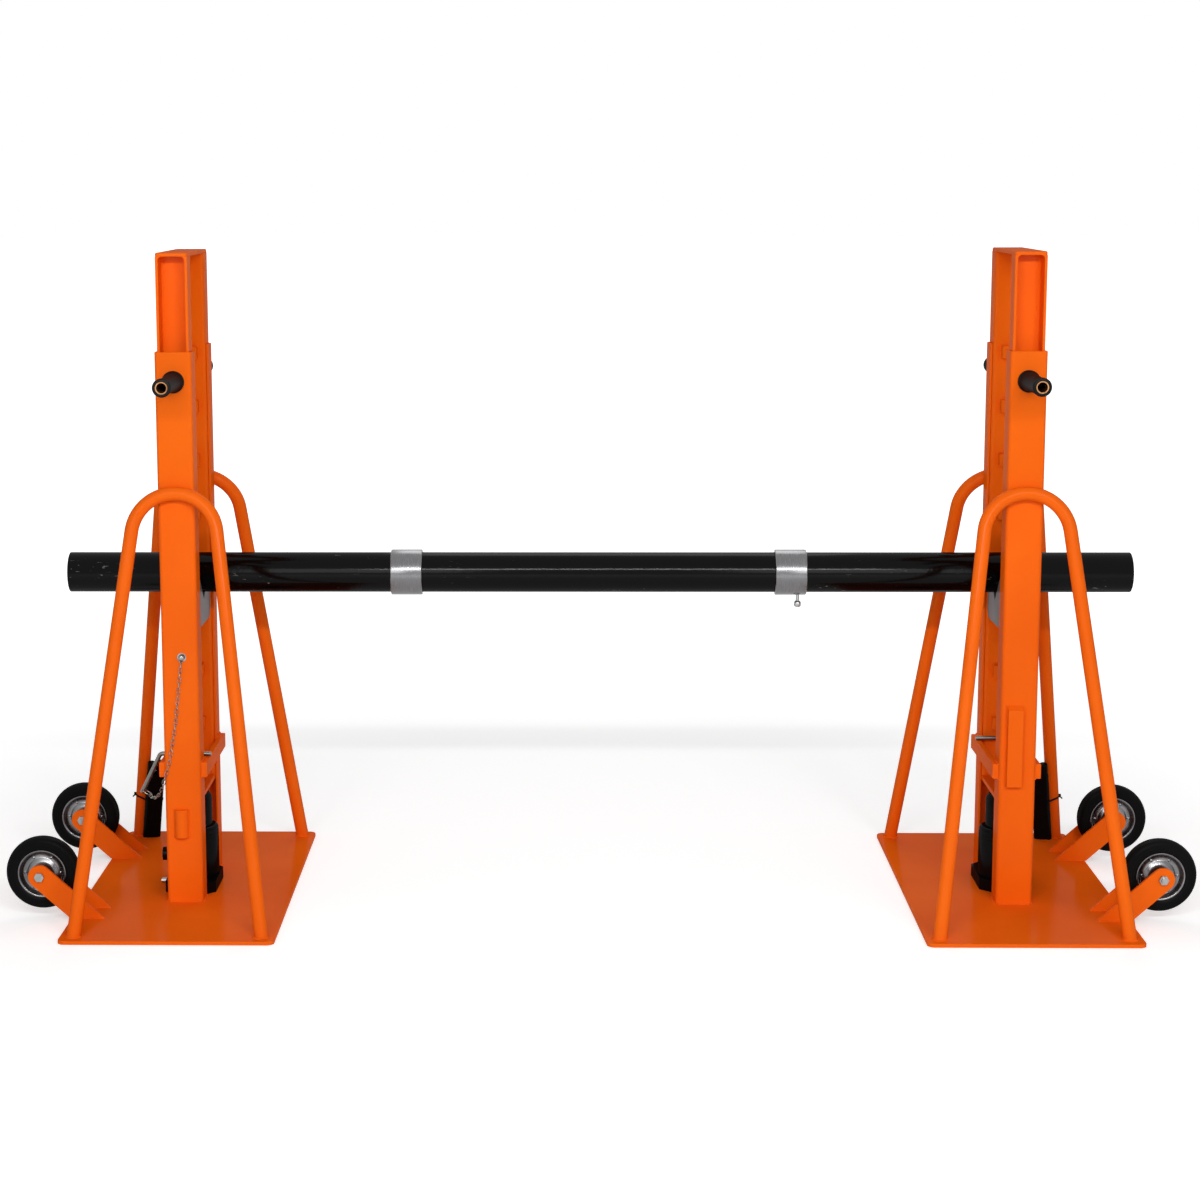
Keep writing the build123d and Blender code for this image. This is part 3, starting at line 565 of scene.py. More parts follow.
# %% Sleeves and clamp screws
SLEEVE_RADIUS = 0.0508
SLEEVE_BORE = 0.04475
SLEEVE_LENGTH = 0.070
SLEEVE_EDGE = 0.0015
SLEEVE_INNER_END = 0.393
SLEEVE_OUTLINE = (
    (SLEEVE_BORE, 0), (SLEEVE_RADIUS - SLEEVE_EDGE, 0), (SLEEVE_RADIUS, SLEEVE_EDGE),
    (SLEEVE_RADIUS, SLEEVE_LENGTH - SLEEVE_EDGE), (SLEEVE_RADIUS - SLEEVE_EDGE, SLEEVE_LENGTH),
    (SLEEVE_BORE, SLEEVE_LENGTH),
)
SCREW_SIDE = 0.4455
SCREW_NECK = 0.004
SCREW_HEAD = 0.008
SCREW_OUTLINE = (
    (0, 0.0450), (SCREW_NECK, 0.0450), (SCREW_NECK, 0.0640), (SCREW_NECK + 0.0012, 0.0648),
    (SCREW_HEAD - 0.0010, 0.0664), (SCREW_HEAD - 0.0002, 0.0686), (SCREW_HEAD, 0.0710),
    (SCREW_HEAD, 0.0738), (SCREW_HEAD - 0.0006, 0.0762), (SCREW_HEAD - 0.0022, 0.0779),
    (SCREW_HEAD - 0.0046, 0.0788), (0, 0.0788),
)
for side, hand, out in (("left", -1, (0, 1, 0)), ("right", 1, (0, 0, -1))):
    sleeve_place = facing((hand * SLEEVE_INNER_END, 0, SPINDLE_HEIGHT), (hand, 0, 0))
    sleeve = lathe(SLEEVE_OUTLINE, sleeve_place, steps=80, edge=0.0004)
    fit(sleeve, f"locking_sleeve_{side}", f"sleeve_{side}", turned_steel,
        (f"sleeve_{side}",))
    screw_place = facing((hand * SCREW_SIDE, 0, SPINDLE_HEIGHT), out)
    screw = lathe(SCREW_OUTLINE, screw_place, steps=32)
    fit(screw, f"clamp_screw_head_{side}", f"clamp_{side}", zinc,
        (f"clamp_screw_{side}",))

# %% [markdown]
# ## Hoops
# Each post is braced by a tube bent to a narrow arch. A ring of points is extruded up one
# leg, spun round the bend and extruded down the other leg. Then the arch is leaned against
# the post and its feet are cut level with the base plate.

# %% Hoops
PLATE_TOP = 0.008
HOOP_TUBE = 0.015
HOOP_FOOT_SPREAD = 0.200
HOOP_FOOT_DEPTH = 0.416
HOOP_REACH = 0.1731
HOOP_TOP = 0.926
HOOP_BEND = 0.093
HOOP_OVERRUN = 0.020
hoop_rise = HOOP_TOP - PLATE_TOP
hoop_run = HOOP_FOOT_DEPTH - HOOP_REACH
bend_centre = hypot(hoop_rise, hoop_run) - HOOP_BEND
hoop_tilt = atan(hoop_run / hoop_rise)
leg_lean = atan(HOOP_FOOT_SPREAD / bend_centre)
leg_lean -= asin(HOOP_BEND / hypot(HOOP_FOOT_SPREAD, bend_centre))
leg_up = Vector((sin(leg_lean), 0, cos(leg_lean)))
leg_down = Vector((sin(leg_lean), 0, -cos(leg_lean)))
hoop_foot = Vector((-HOOP_FOOT_SPREAD, 0, 0)) - leg_up * HOOP_OVERRUN
bend_start = Vector((-HOOP_BEND * cos(leg_lean), 0, bend_centre + HOOP_BEND * sin(leg_lean)))
leg_length = (bend_start - hoop_foot).length

start_fresh()
bpy.ops.mesh.primitive_circle_add(
    vertices=28, radius=HOOP_TUBE, location=hoop_foot, rotation=(0, leg_lean, 0)
)
arch = bpy.context.object
bpy.ops.object.transform_apply(location=True, rotation=True)
edit_all()
extrude(leg_up * leg_length)
bpy.ops.mesh.spin(
    steps=36, angle=2 * leg_lean - pi, center=(0, 0, bend_centre), axis=(0, 1, 0)
)
extrude(leg_down * leg_length)
leave_edit()
tidy_mesh(arch)

for row, hand in (("front", -1), ("rear", 1)):
    hoop = copy_of(arch, Matrix.Translation((0, hand * HOOP_FOOT_DEPTH, PLATE_TOP))
                   @ Matrix.Rotation(hand * hoop_tilt, 4, "X"))
    pick(hoop)
    edit_all()
    bpy.ops.mesh.bisect(
        plane_co=(0, 0, PLATE_TOP), plane_no=(0, 0, 1), clear_inner=True, use_fill=True
    )
    leave_edit()
    tidy_mesh(hoop)
    smooth(hoop, 50)
    fit_both(hoop, f"hoop_{row}_tube_{{side}}", orange,
             replaced=(f"hoop_{row}_{{side}}",))
bpy.data.objects.remove(arch)
print("hoop leg leans", round(leg_lean, 4), "rad")

# %% [markdown]
# ## Wheels
# Each wheel is a solid rubber tyre on a pressed, zinc plated rim. The tyre's side has
# three fine moulded rings, and the rim is dished round its hub, with small pressed buttons
# round the dish.

# %% Tyres and rims
AXLE_SIDE = 0.297
AXLE_HEIGHT = 0.101
WHEEL_DEPTH = 0.2425
TYRE_SIDE = (
    (0.0531, 0.0169), (0.0531, 0.0184), (0.0546, 0.0197), (0.0610, 0.0200), (0.0614, 0.0192),
    (0.0624, 0.0192), (0.0628, 0.0199), (0.0660, 0.0198), (0.0664, 0.0190), (0.0674, 0.0190),
    (0.0678, 0.0196), (0.0702, 0.0193), (0.0706, 0.0185), (0.0714, 0.0184), (0.0718, 0.0188),
    (0.0745, 0.0174), (0.0768, 0.0150), (0.0784, 0.0118), (0.0795, 0.0078), (0.0800, 0.0030),
)
RIM_SIDE = (
    (0.0061, 0.0300), (0.0110, 0.0300), (0.0125, 0.0288), (0.0125, 0.0140), (0.0250, 0.0140),
    (0.0275, 0.0134), (0.0330, 0.0090), (0.0350, 0.0080), (0.0415, 0.0080), (0.0440, 0.0092),
    (0.0470, 0.0150), (0.0488, 0.0182), (0.0508, 0.0190), (0.0524, 0.0188), (0.0530, 0.0180),
    (0.0526, 0.0171), (0.0490, 0.0170),
)
tyre_outline = ((0.0491, 0.0169), *TYRE_SIDE, *((r, -h) for r, h in reversed(TYRE_SIDE)),
                (0.0491, -0.0169))
rim_outline = (*RIM_SIDE, *((r, -h) for r, h in reversed(RIM_SIDE)))
BUTTON_COUNT = 6
BUTTON_CIRCLE = 0.0385
BUTTON_OUTLINE = (
    (0, 0.0075), (0.0032, 0.0075), (0.0030, 0.0088), (0.0018, 0.0096), (0, 0.0098),
)

tyre = lathe(tyre_outline, Matrix.Rotation(pi / 2, 4, "X"), steps=72, crease=40)
rim = lathe(rim_outline, Matrix.Rotation(pi / 2, 4, "X"), steps=64, crease=40)
buttons = []
for face in (-1, 1):
    for n in range(BUTTON_COUNT):
        turn = 2 * pi * n / BUTTON_COUNT
        spot = (BUTTON_CIRCLE * cos(turn), 0, BUTTON_CIRCLE * sin(turn))
        buttons.append(lathe(BUTTON_OUTLINE, facing(spot, (0, face, 0)), steps=14))
rim = join([rim, *buttons])
for row, hand in (("front", -1), ("rear", 1)):
    axle = Matrix.Translation((-AXLE_SIDE, hand * WHEEL_DEPTH, AXLE_HEIGHT))
    fit_both(copy_of(tyre, axle), f"tyre_{row}_rubber_{{side}}", tyre_rubber,
             f"wheel_{row}_{{side}}", (f"tyre_{row}_{{side}}",))
    fit_both(copy_of(rim, axle), f"rim_{row}_disc_{{side}}", rim_zinc,
             f"wheel_{row}_{{side}}", (f"rim_{row}_{{side}}",))
bpy.data.objects.remove(tyre)
bpy.data.objects.remove(rim)

# %% [markdown]
# ## Grips
# A short tube is welded to each post and wears a moulded rubber grip with a flange at its
# root and a bead at its end. The cut end of the tube shows as a thin worn ring.

# %% Grips
GRIP_HEIGHT = 1.166
POST_REACH = 0.158
GRIP_OUTLINE = (
    (0.0136, 0.0), (0.0240, 0.0), (0.0240, 0.0072), (0.0228, 0.0088), (0.0214, 0.0104),
    (0.0204, 0.0160), (0.0178, 0.1180), (0.0171, 0.1380), (0.0175, 0.1430), (0.0194, 0.1470),
    (0.0200, 0.1500), (0.0200, 0.1570), (0.0186, 0.1592), (0.0160, 0.1600), (0.0136, 0.1600),
)
TUBE_OUTLINE = (
    (0.0105, 0.0), (0.0135, 0.0), (0.0135, 0.1592), (0.0130, 0.1597), (0.0110, 0.1597),
    (0.0105, 0.1592),
)
for row, hand in (("front", -1), ("rear", 1)):
    root = facing((0, hand * POST_REACH, GRIP_HEIGHT), (0, hand, 0))
    grip = lathe(GRIP_OUTLINE, root, steps=48, edge=0.0003)
    gone = ("grips_{side}",) if row == "front" else ()
    fit_both(grip, f"grip_{row}_rubber_{{side}}", grip_rubber, replaced=gone)
    tube = lathe(TUBE_OUTLINE, root, steps=48)
    fit_both(tube, f"grip_{row}_tube_{{side}}", copper_edge)

# %% [markdown]
# ## Jack
# A bottle jack stands inside each stand: a wide oil jacket with pressed ribs, the domed
# cylinder above it, and the ground ram that lifts the mast.

# %% Jack
JACKET = (
    (0.0402, 0.034), (0.0540, 0.034), (0.0540, 0.1190), (0.0532, 0.1198), (0.0532, 0.1208),
    (0.0540, 0.1216), (0.0540, 0.1260), (0.0532, 0.1268), (0.0532, 0.1278), (0.0540, 0.1286),
    (0.0540, 0.1330), (0.0532, 0.1338), (0.0532, 0.1348), (0.0538, 0.1380), (0.0526, 0.1425),
    (0.0500, 0.1450), (0.0470, 0.1460), (0.0402, 0.1460),
)
CYLINDER = (
    (0.02505, 0.036), (0.0400, 0.036), (0.0400, 0.2080), (0.0392, 0.2125), (0.0370, 0.2165),
    (0.0340, 0.2195), (0.0305, 0.2214), (0.0265, 0.2220), (0.02505, 0.2220),
)
RAM = (
    (0, 0.044), (0.0250, 0.044), (0.0250, 0.2215), (0.0246, 0.2220), (0.0200, 0.2220),
    (0.0200, 0.2272), (0.0192, 0.2280), (0, 0.2280),
)
STAND_CENTRE = Matrix.Identity(4)
fit_both(lathe(JACKET, STAND_CENTRE), "jack_jacket_{side}", jack_black,
         replaced=("jack_reservoir_{side}",))
fit_both(lathe(CYLINDER, STAND_CENTRE), "jack_barrel_{side}", jack_black,
         replaced=("jack_cylinder_{side}",))
fit_both(lathe(RAM, STAND_CENTRE), "jack_ram_rod_{side}", ram_chrome,
         "ram_{side}", ("jack_ram_{side}",))

# %% [markdown]
# ## Safety pins
# A bent rod lies across the guide bars below a lug of the mast, as a stop if the jack
# sinks. It is drawn like the hoops: a ring of points is extruded along the rod, spun round
# the bend and extruded down the leg.

# %% Safety pins
PIN_RADIUS = 0.005
PIN_DEPTH = -0.085
PIN_HEIGHT = 0.3292
PIN_TIP = 0.0545
PIN_BEND_SIDE = -0.060
PIN_BEND = 0.009
PIN_LEG = 0.100
PIN_EDGE = 0.001
EYE_FROM_END = 0.007
EYE_RADIUS = 0.0028
DRILL_LENGTH = 0.03
LEG_FALL = {"left": radians(64), "right": radians(90)}


def leg_way(side):
    """Direction of the pin's leg, away from its bend."""
    return Vector((-cos(LEG_FALL[side]), 0, -sin(LEG_FALL[side])))


def pin_eye(side):
    """Middle of the hole near the end of the pin's leg."""
    corner = Vector((PIN_BEND_SIDE, PIN_DEPTH, PIN_HEIGHT))
    return corner + leg_way(side) * (PIN_LEG - EYE_FROM_END)


def drill(obj, point, radius):
    """Bore a hole along Y through a piece."""
    start_fresh()
    bpy.ops.mesh.primitive_cylinder_add(
        vertices=24, radius=radius, depth=DRILL_LENGTH, location=point, rotation=(pi / 2, 0, 0)
    )
    bit = bpy.context.object
    change(obj, "BOOLEAN", operation="DIFFERENCE", object=bit)
    bpy.data.objects.remove(bit)


for side, place in PLACES.items():
    fall = LEG_FALL[side]
    setback = PIN_BEND * tan(fall / 2)
    bend_x = PIN_BEND_SIDE + setback
    start_fresh()
    bpy.ops.mesh.primitive_circle_add(
        vertices=20, radius=PIN_RADIUS, location=(PIN_TIP - PIN_EDGE, PIN_DEPTH, PIN_HEIGHT),
        rotation=(0, pi / 2, 0), fill_type="NGON",
    )
    pin = bpy.context.object
    bpy.ops.object.transform_apply(location=True, rotation=True)
    edit_all()
    extrude((bend_x - PIN_TIP + PIN_EDGE, 0, 0))
    bpy.ops.mesh.spin(
        steps=12, angle=fall, center=(bend_x, PIN_DEPTH, PIN_HEIGHT - PIN_BEND), axis=(0, 1, 0)
    )
    extrude(leg_way(side) * (PIN_LEG - setback))
    leave_edit()
    tidy_mesh(pin)
    bevel_edges(pin, PIN_EDGE)
    drill(pin, pin_eye(side), EYE_RADIUS)
    smooth(pin)
    bake_place(pin, place)
    fit(pin, f"pin_rod_{side}", f"pin_{side}", pin_steel, (f"safety_pin_{side}",))

# %% [markdown]
# ## Chains
# A light chain keeps each pin with its stand. One link is a torus whose two halves are pulled
# apart; it is copied along the chain's line, each copy turned a quarter to the one before it. The
# chain hangs from a rivet on the post and ends in a ring through the pin's eye.

# %% Chains
LINK_LENGTH = 0.0161
LINK_WIDTH = 0.008
LINK_WIRE = 0.0016
LINK_COUNT = 33
RING_RADIUS = 0.011
RING_WIRE = 0.0012
RING_OVERLAP = 0.0009
RING_WAY = {"left": Vector((0.8486, 0, -0.5291)), "right": Vector((0, 0, -1))}
RING_ANGLE = {"left": radians(45), "right": radians(70)}
CHAIN_ON_POST = (
    (0.0040, -0.1633, 0.5639), (-0.0015, -0.1634, 0.5100), (-0.0065, -0.1634, 0.4630),
    (-0.0115, -0.1634, 0.4190), (-0.0215, -0.1634, 0.3610), (-0.0295, -0.1634, 0.3200),
)
CHAIN_TAIL = {
    "left": (
        (-0.0395, -0.1615, 0.2880), (-0.0480, -0.1495, 0.2630), (-0.0580, -0.1340, 0.2460),
        (-0.0690, -0.1170, 0.2360), (-0.0785, -0.1020, 0.2335),
    ),
    "right": (
        (-0.0395, -0.1605, 0.2860), (-0.0470, -0.1510, 0.2585), (-0.0540, -0.1375, 0.2380),
        (-0.0585, -0.1210, 0.2245), (-0.0602, -0.1050, 0.2202),
    ),
}
LINE_STEPS = 24
RIVET_PLACE = (0.004, -POST_REACH, 0.562)
RIVET_OUTLINE = (
    (0, 0), (0.0100, 0), (0.0100, 0.0011), (0.0096, 0.0015), (0.0018, 0.0015), (0.0018, 0.0067),
    (0.0066, 0.0067), (0.0070, 0.0075), (0.0066, 0.0092), (0.0052, 0.0106), (0.0030, 0.0115),
    (0, 0.0117),
)


def even_joints(points, count):
    """Points at even steps along a smooth line through the given points."""
    curve = bpy.data.curves.new("chain_line", "CURVE")
    curve.dimensions = "3D"
    line = curve.splines.new("BEZIER")
    line.bezier_points.add(len(points) - 1)
    for knot, point in zip(line.bezier_points, points):
        knot.co = point
        knot.handle_left_type = knot.handle_right_type = "AUTO"
    holder = bpy.data.objects.new("chain_line", curve)
    bpy.context.scene.collection.objects.link(holder)
    bpy.context.view_layer.update()
    knots = line.bezier_points
    trail = []
    for a, b in zip(knots, knots[1:]):
        piece = interpolate_bezier(a.co, a.handle_right, b.handle_left, b.co, LINE_STEPS)
        trail += piece[:-1]
    trail.append(knots[-1].co.copy())
    bpy.data.objects.remove(holder)
    lengths = [0.0]
    for a, b in zip(trail, trail[1:]):
        lengths.append(lengths[-1] + (b - a).length)
    joints, at = [], 0
    for n in range(count + 1):
        goal = lengths[-1] * n / count
        while at < len(trail) - 2 and lengths[at + 1] < goal:
            at += 1
        share = (goal - lengths[at]) / (lengths[at + 1] - lengths[at])
        joints.append(trail[at].lerp(trail[at + 1], share))
    return joints


start_fresh()
bpy.ops.mesh.primitive_torus_add(
    major_segments=14, minor_segments=8, major_radius=(LINK_WIDTH - LINK_WIRE) / 2,
    minor_radius=LINK_WIRE / 2,
)
link = bpy.context.object
for half in (-1, 1):
    bpy.ops.object.mode_set(mode="EDIT")
    bpy.ops.mesh.select_all(action="DESELECT")
    leave_edit()
    for point in link.data.vertices:
        point.select = half * point.co.x > 0
    bpy.ops.object.mode_set(mode="EDIT")
    bpy.ops.transform.translate(value=(half * (LINK_LENGTH - LINK_WIDTH) / 2, 0, 0))
    leave_edit()
smooth(link, 60)

for side, place in PLACES.items():
    ring_middle = pin_eye(side) + RING_WAY[side] * RING_RADIUS
    link_side = RING_WAY[side] * cos(RING_ANGLE[side]) - Vector((0, sin(RING_ANGLE[side]), 0))
    chain_end = ring_middle + link_side * (RING_RADIUS - RING_OVERLAP)
    points = [Vector(p) for p in (*CHAIN_ON_POST, *CHAIN_TAIL[side])] + [chain_end]
    joints = even_joints(points, LINK_COUNT)
    links = []
    for n, (a, b) in enumerate(zip(joints, joints[1:])):
        along = (b - a).normalized()
        depth_way = (Vector((0, 1, 0)) - along * along.y).normalized()
        flat = depth_way if n % 2 == 0 else along.cross(depth_way)
        turn = Matrix((along, flat.cross(along), flat)).transposed().to_4x4()
        links.append(copy_of(link, Matrix.Translation((a + b) / 2) @ turn))
    start_fresh()
    bpy.ops.mesh.primitive_torus_add(
        major_segments=28, minor_segments=8, major_radius=RING_RADIUS, minor_radius=RING_WIRE
    )
    ring = bpy.context.object
    bpy.ops.object.shade_smooth()
    across = RING_WAY[side].cross(Vector((0, 1, 0)))
    turn = Matrix((RING_WAY[side], across.cross(RING_WAY[side]), across)).transposed().to_4x4()
    bake_place(ring, Matrix.Translation(ring_middle) @ turn)
    chain = join([links[0], *links[1:], ring])
    bake_place(chain, place)
    fit(chain, f"chain_links_{side}", None, chain_steel, (f"pin_chain_{side}",))
    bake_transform(chain)
    print(side, "chain:", len(links), "links")
bpy.data.objects.remove(link)

rivet = lathe(RIVET_OUTLINE, facing(RIVET_PLACE, (0, -1, 0)), steps=32)
fit_both(rivet, "chain_rivet_{side}", zinc)

# %% [markdown]
# ## Pump handles
# The jack's handle is kept in two lengths of black tube that lean on the outer leg of the
# rear hoop. The shorter one ends in a square socket. A rubber wrap holds them together and
# a strap ties them to the leg: the line of each is the tight loop round two or three
# circles, drawn point by point, pulled out to its width and thickened. The right stand's
# bundle is the mirror image of the left one.

# %% Pump handles
HANDLE_RADIUS = 0.010
HANDLE_WALL = 0.002
HANDLE_LENGTHS = (0.205, 0.188)
HANDLE_DIRECTIONS = (radians(-38), radians(8))
LEG_GAP = 0.0006
FOOT_GAP = 0.0001
CAP_ROUND = 0.004
CAP_SHOULDER = 0.0012
CAP_DEPTH = 0.006
slant = hypot(hoop_rise, hoop_run)
handle_way = Vector((slant * tan(leg_lean), -hoop_run, hoop_rise)).normalized()
foot = Vector((-HOOP_FOOT_SPREAD, HOOP_FOOT_DEPTH, PLATE_TOP))
reaches = (HOOP_TUBE + HANDLE_RADIUS + 2 * LEG_GAP, 2 * HANDLE_RADIUS + LEG_GAP)
lift = HANDLE_RADIUS * hypot(handle_way.x, handle_way.y) / handle_way.z ** 2
lift += FOOT_GAP
inner = HANDLE_RADIUS - HANDLE_WALL
axes = [foot.copy()]
bundle = []
for length, turn, reach in zip(HANDLE_LENGTHS, HANDLE_DIRECTIONS, reaches):
    step = Vector((cos(turn), sin(turn), 0))
    across = step - handle_way * step.dot(handle_way)
    foot = foot + step * (reach / across.length)
    axes.append(foot.copy())
    bundle.append(lathe(
        (
            (inner, 0), (HANDLE_RADIUS, 0), (HANDLE_RADIUS, length - CAP_ROUND),
            (HANDLE_RADIUS - CAP_SHOULDER, length - CAP_SHOULDER),
            (HANDLE_RADIUS - CAP_ROUND, length), (0, length), (0, length - CAP_DEPTH),
            (inner, length - CAP_DEPTH),
        ),
        facing(foot + handle_way * lift, handle_way), steps=40, edge=0.0004,
    ))

pair_way = axes[2] - axes[1]
pair_way = (pair_way - handle_way * pair_way.dot(handle_way)).normalized()
pair_face = pair_way.cross(handle_way)
upright = Matrix((pair_way, handle_way, pair_face)).transposed().to_4x4()


def bar_along(size, middle):
    """A bar with broken edges, square to the pair of tubes."""
    start_fresh()
    bpy.ops.mesh.primitive_cube_add(size=1)
    obj = bpy.context.object
    bpy.ops.transform.resize(value=size)
    bpy.ops.object.transform_apply(location=True, rotation=True, scale=True)
    bevel_edges(obj, min(size) * 0.12, segments=3)
    smooth(obj)
    return bake_place(obj, Matrix.Translation(middle) @ upright)


SOCKET_SIZE = (0.022, 0.022, 0.020)
SOCKET_RISE = 0.007
socket_middle = axes[2] + handle_way * (lift + HANDLE_LENGTHS[1] + SOCKET_RISE)
bundle.append(bar_along(SOCKET_SIZE, socket_middle))


def loop_round(centres, radii, count):
    """The tight closed line round several circles."""
    outline = []
    for n in range(count):
        way = Vector((cos(2 * pi * n / count), 0, sin(2 * pi * n / count)))
        furthest = max(range(len(centres)), key=lambda i: (centres[i].dot(way) + radii[i], i))
        outline.append(centres[furthest] + way * radii[furthest])
    return outline


def band(loop, width, thickness, place):
    """A band of a width and thickness along a closed line."""
    obj = draw_outline([(point.x, point.z) for point in loop])
    edit_all()
    extrude((0, width, 0))
    leave_edit()
    tidy_mesh(obj)
    change(obj, "SOLIDIFY", thickness=thickness, offset=1)
    bevel_edges(obj, 0.0002, segments=1, angle=60)
    smooth(obj, 50)
    return bake_place(obj, place)


WRAP_START = 0.004
WRAP_LENGTH = 0.178
WRAP_THICKNESS = 0.0007
TIE_HEIGHT = 0.112
TIE_WIDTH = 0.0046
TIE_THICKNESS = 0.0011
LINE_GAP = 0.0001
OVER_WRAP = 0.0009
to_local = (Matrix.Translation(axes[0]) @ upright).inverted()
centres = [to_local @ axis for axis in axes]
for centre in centres:
    centre.y = 0
wrap_line = loop_round(centres[1:], (HANDLE_RADIUS + LINE_GAP,) * 2, 48)
wrap_place = Matrix.Translation(axes[0] + handle_way * (lift + WRAP_START)) @ upright
bundle.append(band(wrap_line, WRAP_LENGTH, WRAP_THICKNESS, wrap_place))
tie_radii = (HOOP_TUBE + LINE_GAP, HANDLE_RADIUS + OVER_WRAP, HANDLE_RADIUS + OVER_WRAP)
tie_line = loop_round(centres, tie_radii, 72)
tie_place = Matrix.Translation(axes[0] + handle_way * TIE_HEIGHT) @ upright
bundle.append(band(tie_line, TIE_WIDTH, TIE_THICKNESS, tie_place))

HEAD_SIZE = (0.0045, 0.0070, 0.0070)
HEAD_REACH = 0.0028
TAIL_SIZE = (0.0011, 0.0040, 1)
TAIL_BEND = 0.022
TAIL_SWEEP = radians(38)
knot = min(tie_line, key=lambda point: point.x)
head_middle = (knot.x - HEAD_REACH, TIE_WIDTH / 2, knot.z)
start_fresh()
bpy.ops.mesh.primitive_cube_add(size=1)
head = bpy.context.object
bpy.ops.transform.resize(value=HEAD_SIZE)
bpy.ops.transform.translate(value=head_middle)
bpy.ops.object.transform_apply(location=True, rotation=True, scale=True)
bevel_edges(head, 0.0008)
smooth(head)
bundle.append(bake_place(head, tie_place))

start_fresh()
bpy.ops.mesh.primitive_plane_add(size=1)
tail = bpy.context.object
bpy.ops.transform.resize(value=TAIL_SIZE)
bpy.ops.object.transform_apply(location=True, rotation=True, scale=True)
edit_all()
bpy.ops.mesh.spin(steps=6, angle=TAIL_SWEEP, center=(-TAIL_BEND, 0, 0), axis=(0, 1, 0))
leave_edit()
tidy_mesh(tail)
smooth(tail)
bake_place(tail, Matrix.Translation(head_middle))
bundle.append(bake_place(tail, tie_place))

handle = join(bundle)
MIRRORED = {
    "left": PLACES["left"],
    "right": Matrix.Translation((STAND_MIDDLE, 0, 0)) @ Matrix.Scale(-1, 4, (1, 0, 0)),
}
for side, place in MIRRORED.items():
    twin = copy_of(handle, place)
    tidy_mesh(twin)
    smooth(twin)
    fit(twin, f"handle_tubes_{side}", STANDS, handle_black,
        (f"pump_handle_{side}",))
bpy.data.objects.remove(handle)

# %% [markdown]
# ## Weld beads
# The stands are welded together, and each seam shows as a row of small overlapping scales.
# One drop of metal is a small ball with its middle on the seam; an array sets it along a straight
# seam, and spin with dupli sets it round a tube. All the beads of one body are joined into
# one piece.

# %% Weld beads
DROP = 0.0026
DROP_PITCH = 0.0030


def drop(place):
    """One scale of a weld bead."""
    start_fresh()
    bpy.ops.mesh.primitive_uv_sphere_add(segments=8, ring_count=5, radius=DROP, location=place)
    obj = bpy.context.object
    bpy.ops.object.shade_smooth()
    bpy.ops.object.transform_apply(location=True, rotation=True, scale=True)
    return obj


def straight_bead(start, end):
    """A bead from one point to another."""
    start, end = Vector(start), Vector(end)
    count = max(2, round((end - start).length / DROP_PITCH))
    obj = drop(start)
    change(obj, "ARRAY", count=count + 1, use_relative_offset=False, use_constant_offset=True,
           constant_offset_displace=(end - start) / count)
    return obj


def round_bead(middle, radius, axis=(0, 0, 1), turn=0.0, sweep=2 * pi):
    """A bead round a point, from an angle and over a sweep about an axis."""
    middle, axis = Vector(middle), Vector(axis)
    begin = Vector((1, 0, 0)) if abs(axis.x) < 0.5 else Vector((0, 0, 1))
    begin = (Matrix.Rotation(turn, 3, axis) @ begin) * radius
    obj = drop(middle + begin)
    edit_all()
    steps = max(3, round(radius * sweep / DROP_PITCH))
    bpy.ops.mesh.spin(steps=steps, angle=-sweep, center=middle, axis=axis, dupli=True)
    leave_edit()
    return obj


POST_SIDE = 0.0402
POST_FACE = 0.1582
POST_LIP = 0.104
BEND = 0.008
BAR_TOP, BAR_BOTTOM = 0.3243, 0.2907
FOOT_BEAD_GAP = 0.0006
HOOP_SEAMS = (HOOP_BEND - 0.0078, HOOP_BEND + 0.0068)
HOOP_SEAM_DEPTH = 0.1600
HOOP_SEAM_TURN, HOOP_SEAM_SWEEP = radians(-109), radians(38)
beads = []
for hand in (-1, 1):
    face, flat = hand * POST_FACE, POST_SIDE - BEND
    beads.append(straight_bead((-flat, face, PLATE_TOP), (flat, face, PLATE_TOP)))
    for cheek in (-1, 1):
        side = cheek * POST_SIDE
        near, far = hand * (POST_FACE - BEND), hand * POST_LIP
        for height in (PLATE_TOP, BAR_TOP, BAR_BOTTOM):
            beads.append(straight_bead((side, near, height), (side, far, height)))
        beads.append(round_bead((cheek * HOOP_FOOT_SPREAD, hand * HOOP_FOOT_DEPTH, PLATE_TOP),
                                HOOP_TUBE + FOOT_BEAD_GAP))
    bend_middle = (0, hand * HOOP_SEAM_DEPTH, HOOP_TOP - HOOP_BEND)
    for radius in HOOP_SEAMS:
        beads.append(round_bead(bend_middle, radius, (0, 1, 0), HOOP_SEAM_TURN, HOOP_SEAM_SWEEP))
STOP_SIDE, STOP_RADIUS = -0.004, 0.0155
STOP_LOW, STOP_HIGH = 0.158, 0.219
POCKET_SIDE, POCKET_HALF = 0.009, 0.0165
POCKET_SEAMS = ((0.279, 0.320), (0.405, 0.455))
for cheek in (-1, 1):
    side = STOP_SIDE + cheek * STOP_RADIUS
    beads.append(straight_bead((side, -POST_FACE, STOP_LOW), (side, -POST_FACE, STOP_HIGH)))
    side = POCKET_SIDE + cheek * POCKET_HALF
    for low, high in POCKET_SEAMS:
        beads.append(straight_bead((side, POST_FACE, low), (side, POST_FACE, high)))
ARM_FACES = (0.0360, 0.0437)
ARM_START, ARM_END = -0.2270, -0.1600
for hand in (-1, 1):
    for reach in ARM_FACES:
        for way in (-1, 1):
            depth = hand * WHEEL_DEPTH + way * reach
            beads.append(straight_bead((ARM_START, depth, PLATE_TOP), (ARM_END, depth, PLATE_TOP)))
stand_beads = join(beads)
smooth(stand_beads, 60)
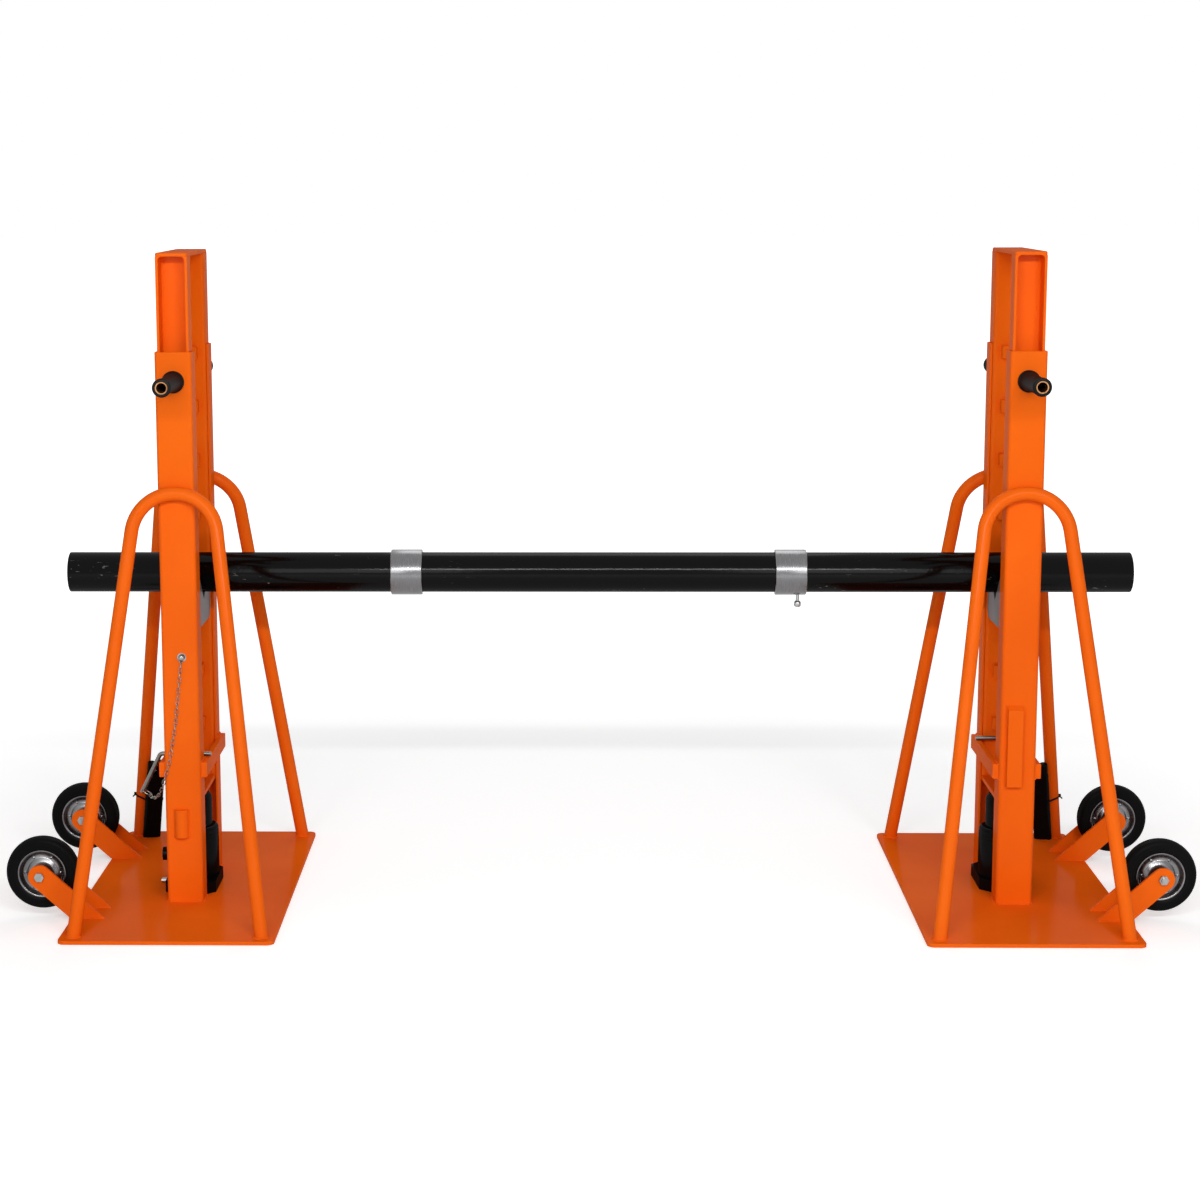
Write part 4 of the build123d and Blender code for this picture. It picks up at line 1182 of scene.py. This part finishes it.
print("beads of a stand:", len(stand_beads.data.polygons), "faces")
fit_both(stand_beads, "weld_beads_{side}", orange)

# %% [markdown]
# The lugs are welded to the mast's webs above and below, and the cap is welded into the
# channels' mouths, where the bead is ground to a smooth hollow corner. That corner is drawn
# as an outline of extruded points, filled, and pulled out along the mast's depth.

# %% Welds of the mast
LUG_COUNT = 8
LUG_PITCH = 0.121
FIRST_LUG = 0.351
LUG_HEIGHT = 0.028
LUG_HALF = 0.0145
WEB_FACE = 0.0972
BEAD_RISE = 0.0006
beads = []
for n in range(LUG_COUNT):
    for height in (FIRST_LUG + n * LUG_PITCH, FIRST_LUG + n * LUG_PITCH + LUG_HEIGHT):
        for hand in (-1, 1):
            depth = hand * (WEB_FACE - BEAD_RISE)
            beads.append(straight_bead((-LUG_HALF, depth, height), (LUG_HALF, depth, height)))
lug_beads = join(beads)
smooth(lug_beads, 60)

CAP_UNDER = 1.434
MAST_INSIDE = 0.0285
CORNER = 0.008
CORNER_STEPS = 6
CORNER_SINK = 0.0005
CORNER_FRONT, CORNER_BACK = 0.1488, 0.1040


def corner_fillet(cheek, hand):
    """The ground weld in one upper corner of a channel's mouth."""
    corner = Vector((cheek * (MAST_INSIDE + CORNER_SINK), 0, CAP_UNDER + CORNER_SINK))
    hollow = Vector((cheek * (MAST_INSIDE - CORNER), 0, CAP_UNDER - CORNER))
    outline = [corner]
    for n in range(CORNER_STEPS + 1):
        angle = pi / 2 * n / CORNER_STEPS
        outline.append(hollow + CORNER * Vector((cheek * cos(angle), 0, sin(angle))))
    obj = draw_outline([(point.x, point.z) for point in outline])
    edit_all()
    bpy.ops.mesh.edge_face_add()
    bpy.ops.transform.translate(value=(0, hand * CORNER_FRONT, 0))
    extrude((0, hand * (CORNER_BACK - CORNER_FRONT), 0))
    leave_edit()
    tidy_mesh(obj)
    smooth(obj)
    return obj


fillets = [corner_fillet(cheek, hand) for cheek in (-1, 1) for hand in (-1, 1)]
mast_welds = join([lug_beads, *fillets])
fit_both(mast_welds, "mast_welds_{side}", orange, "mast_{side}")
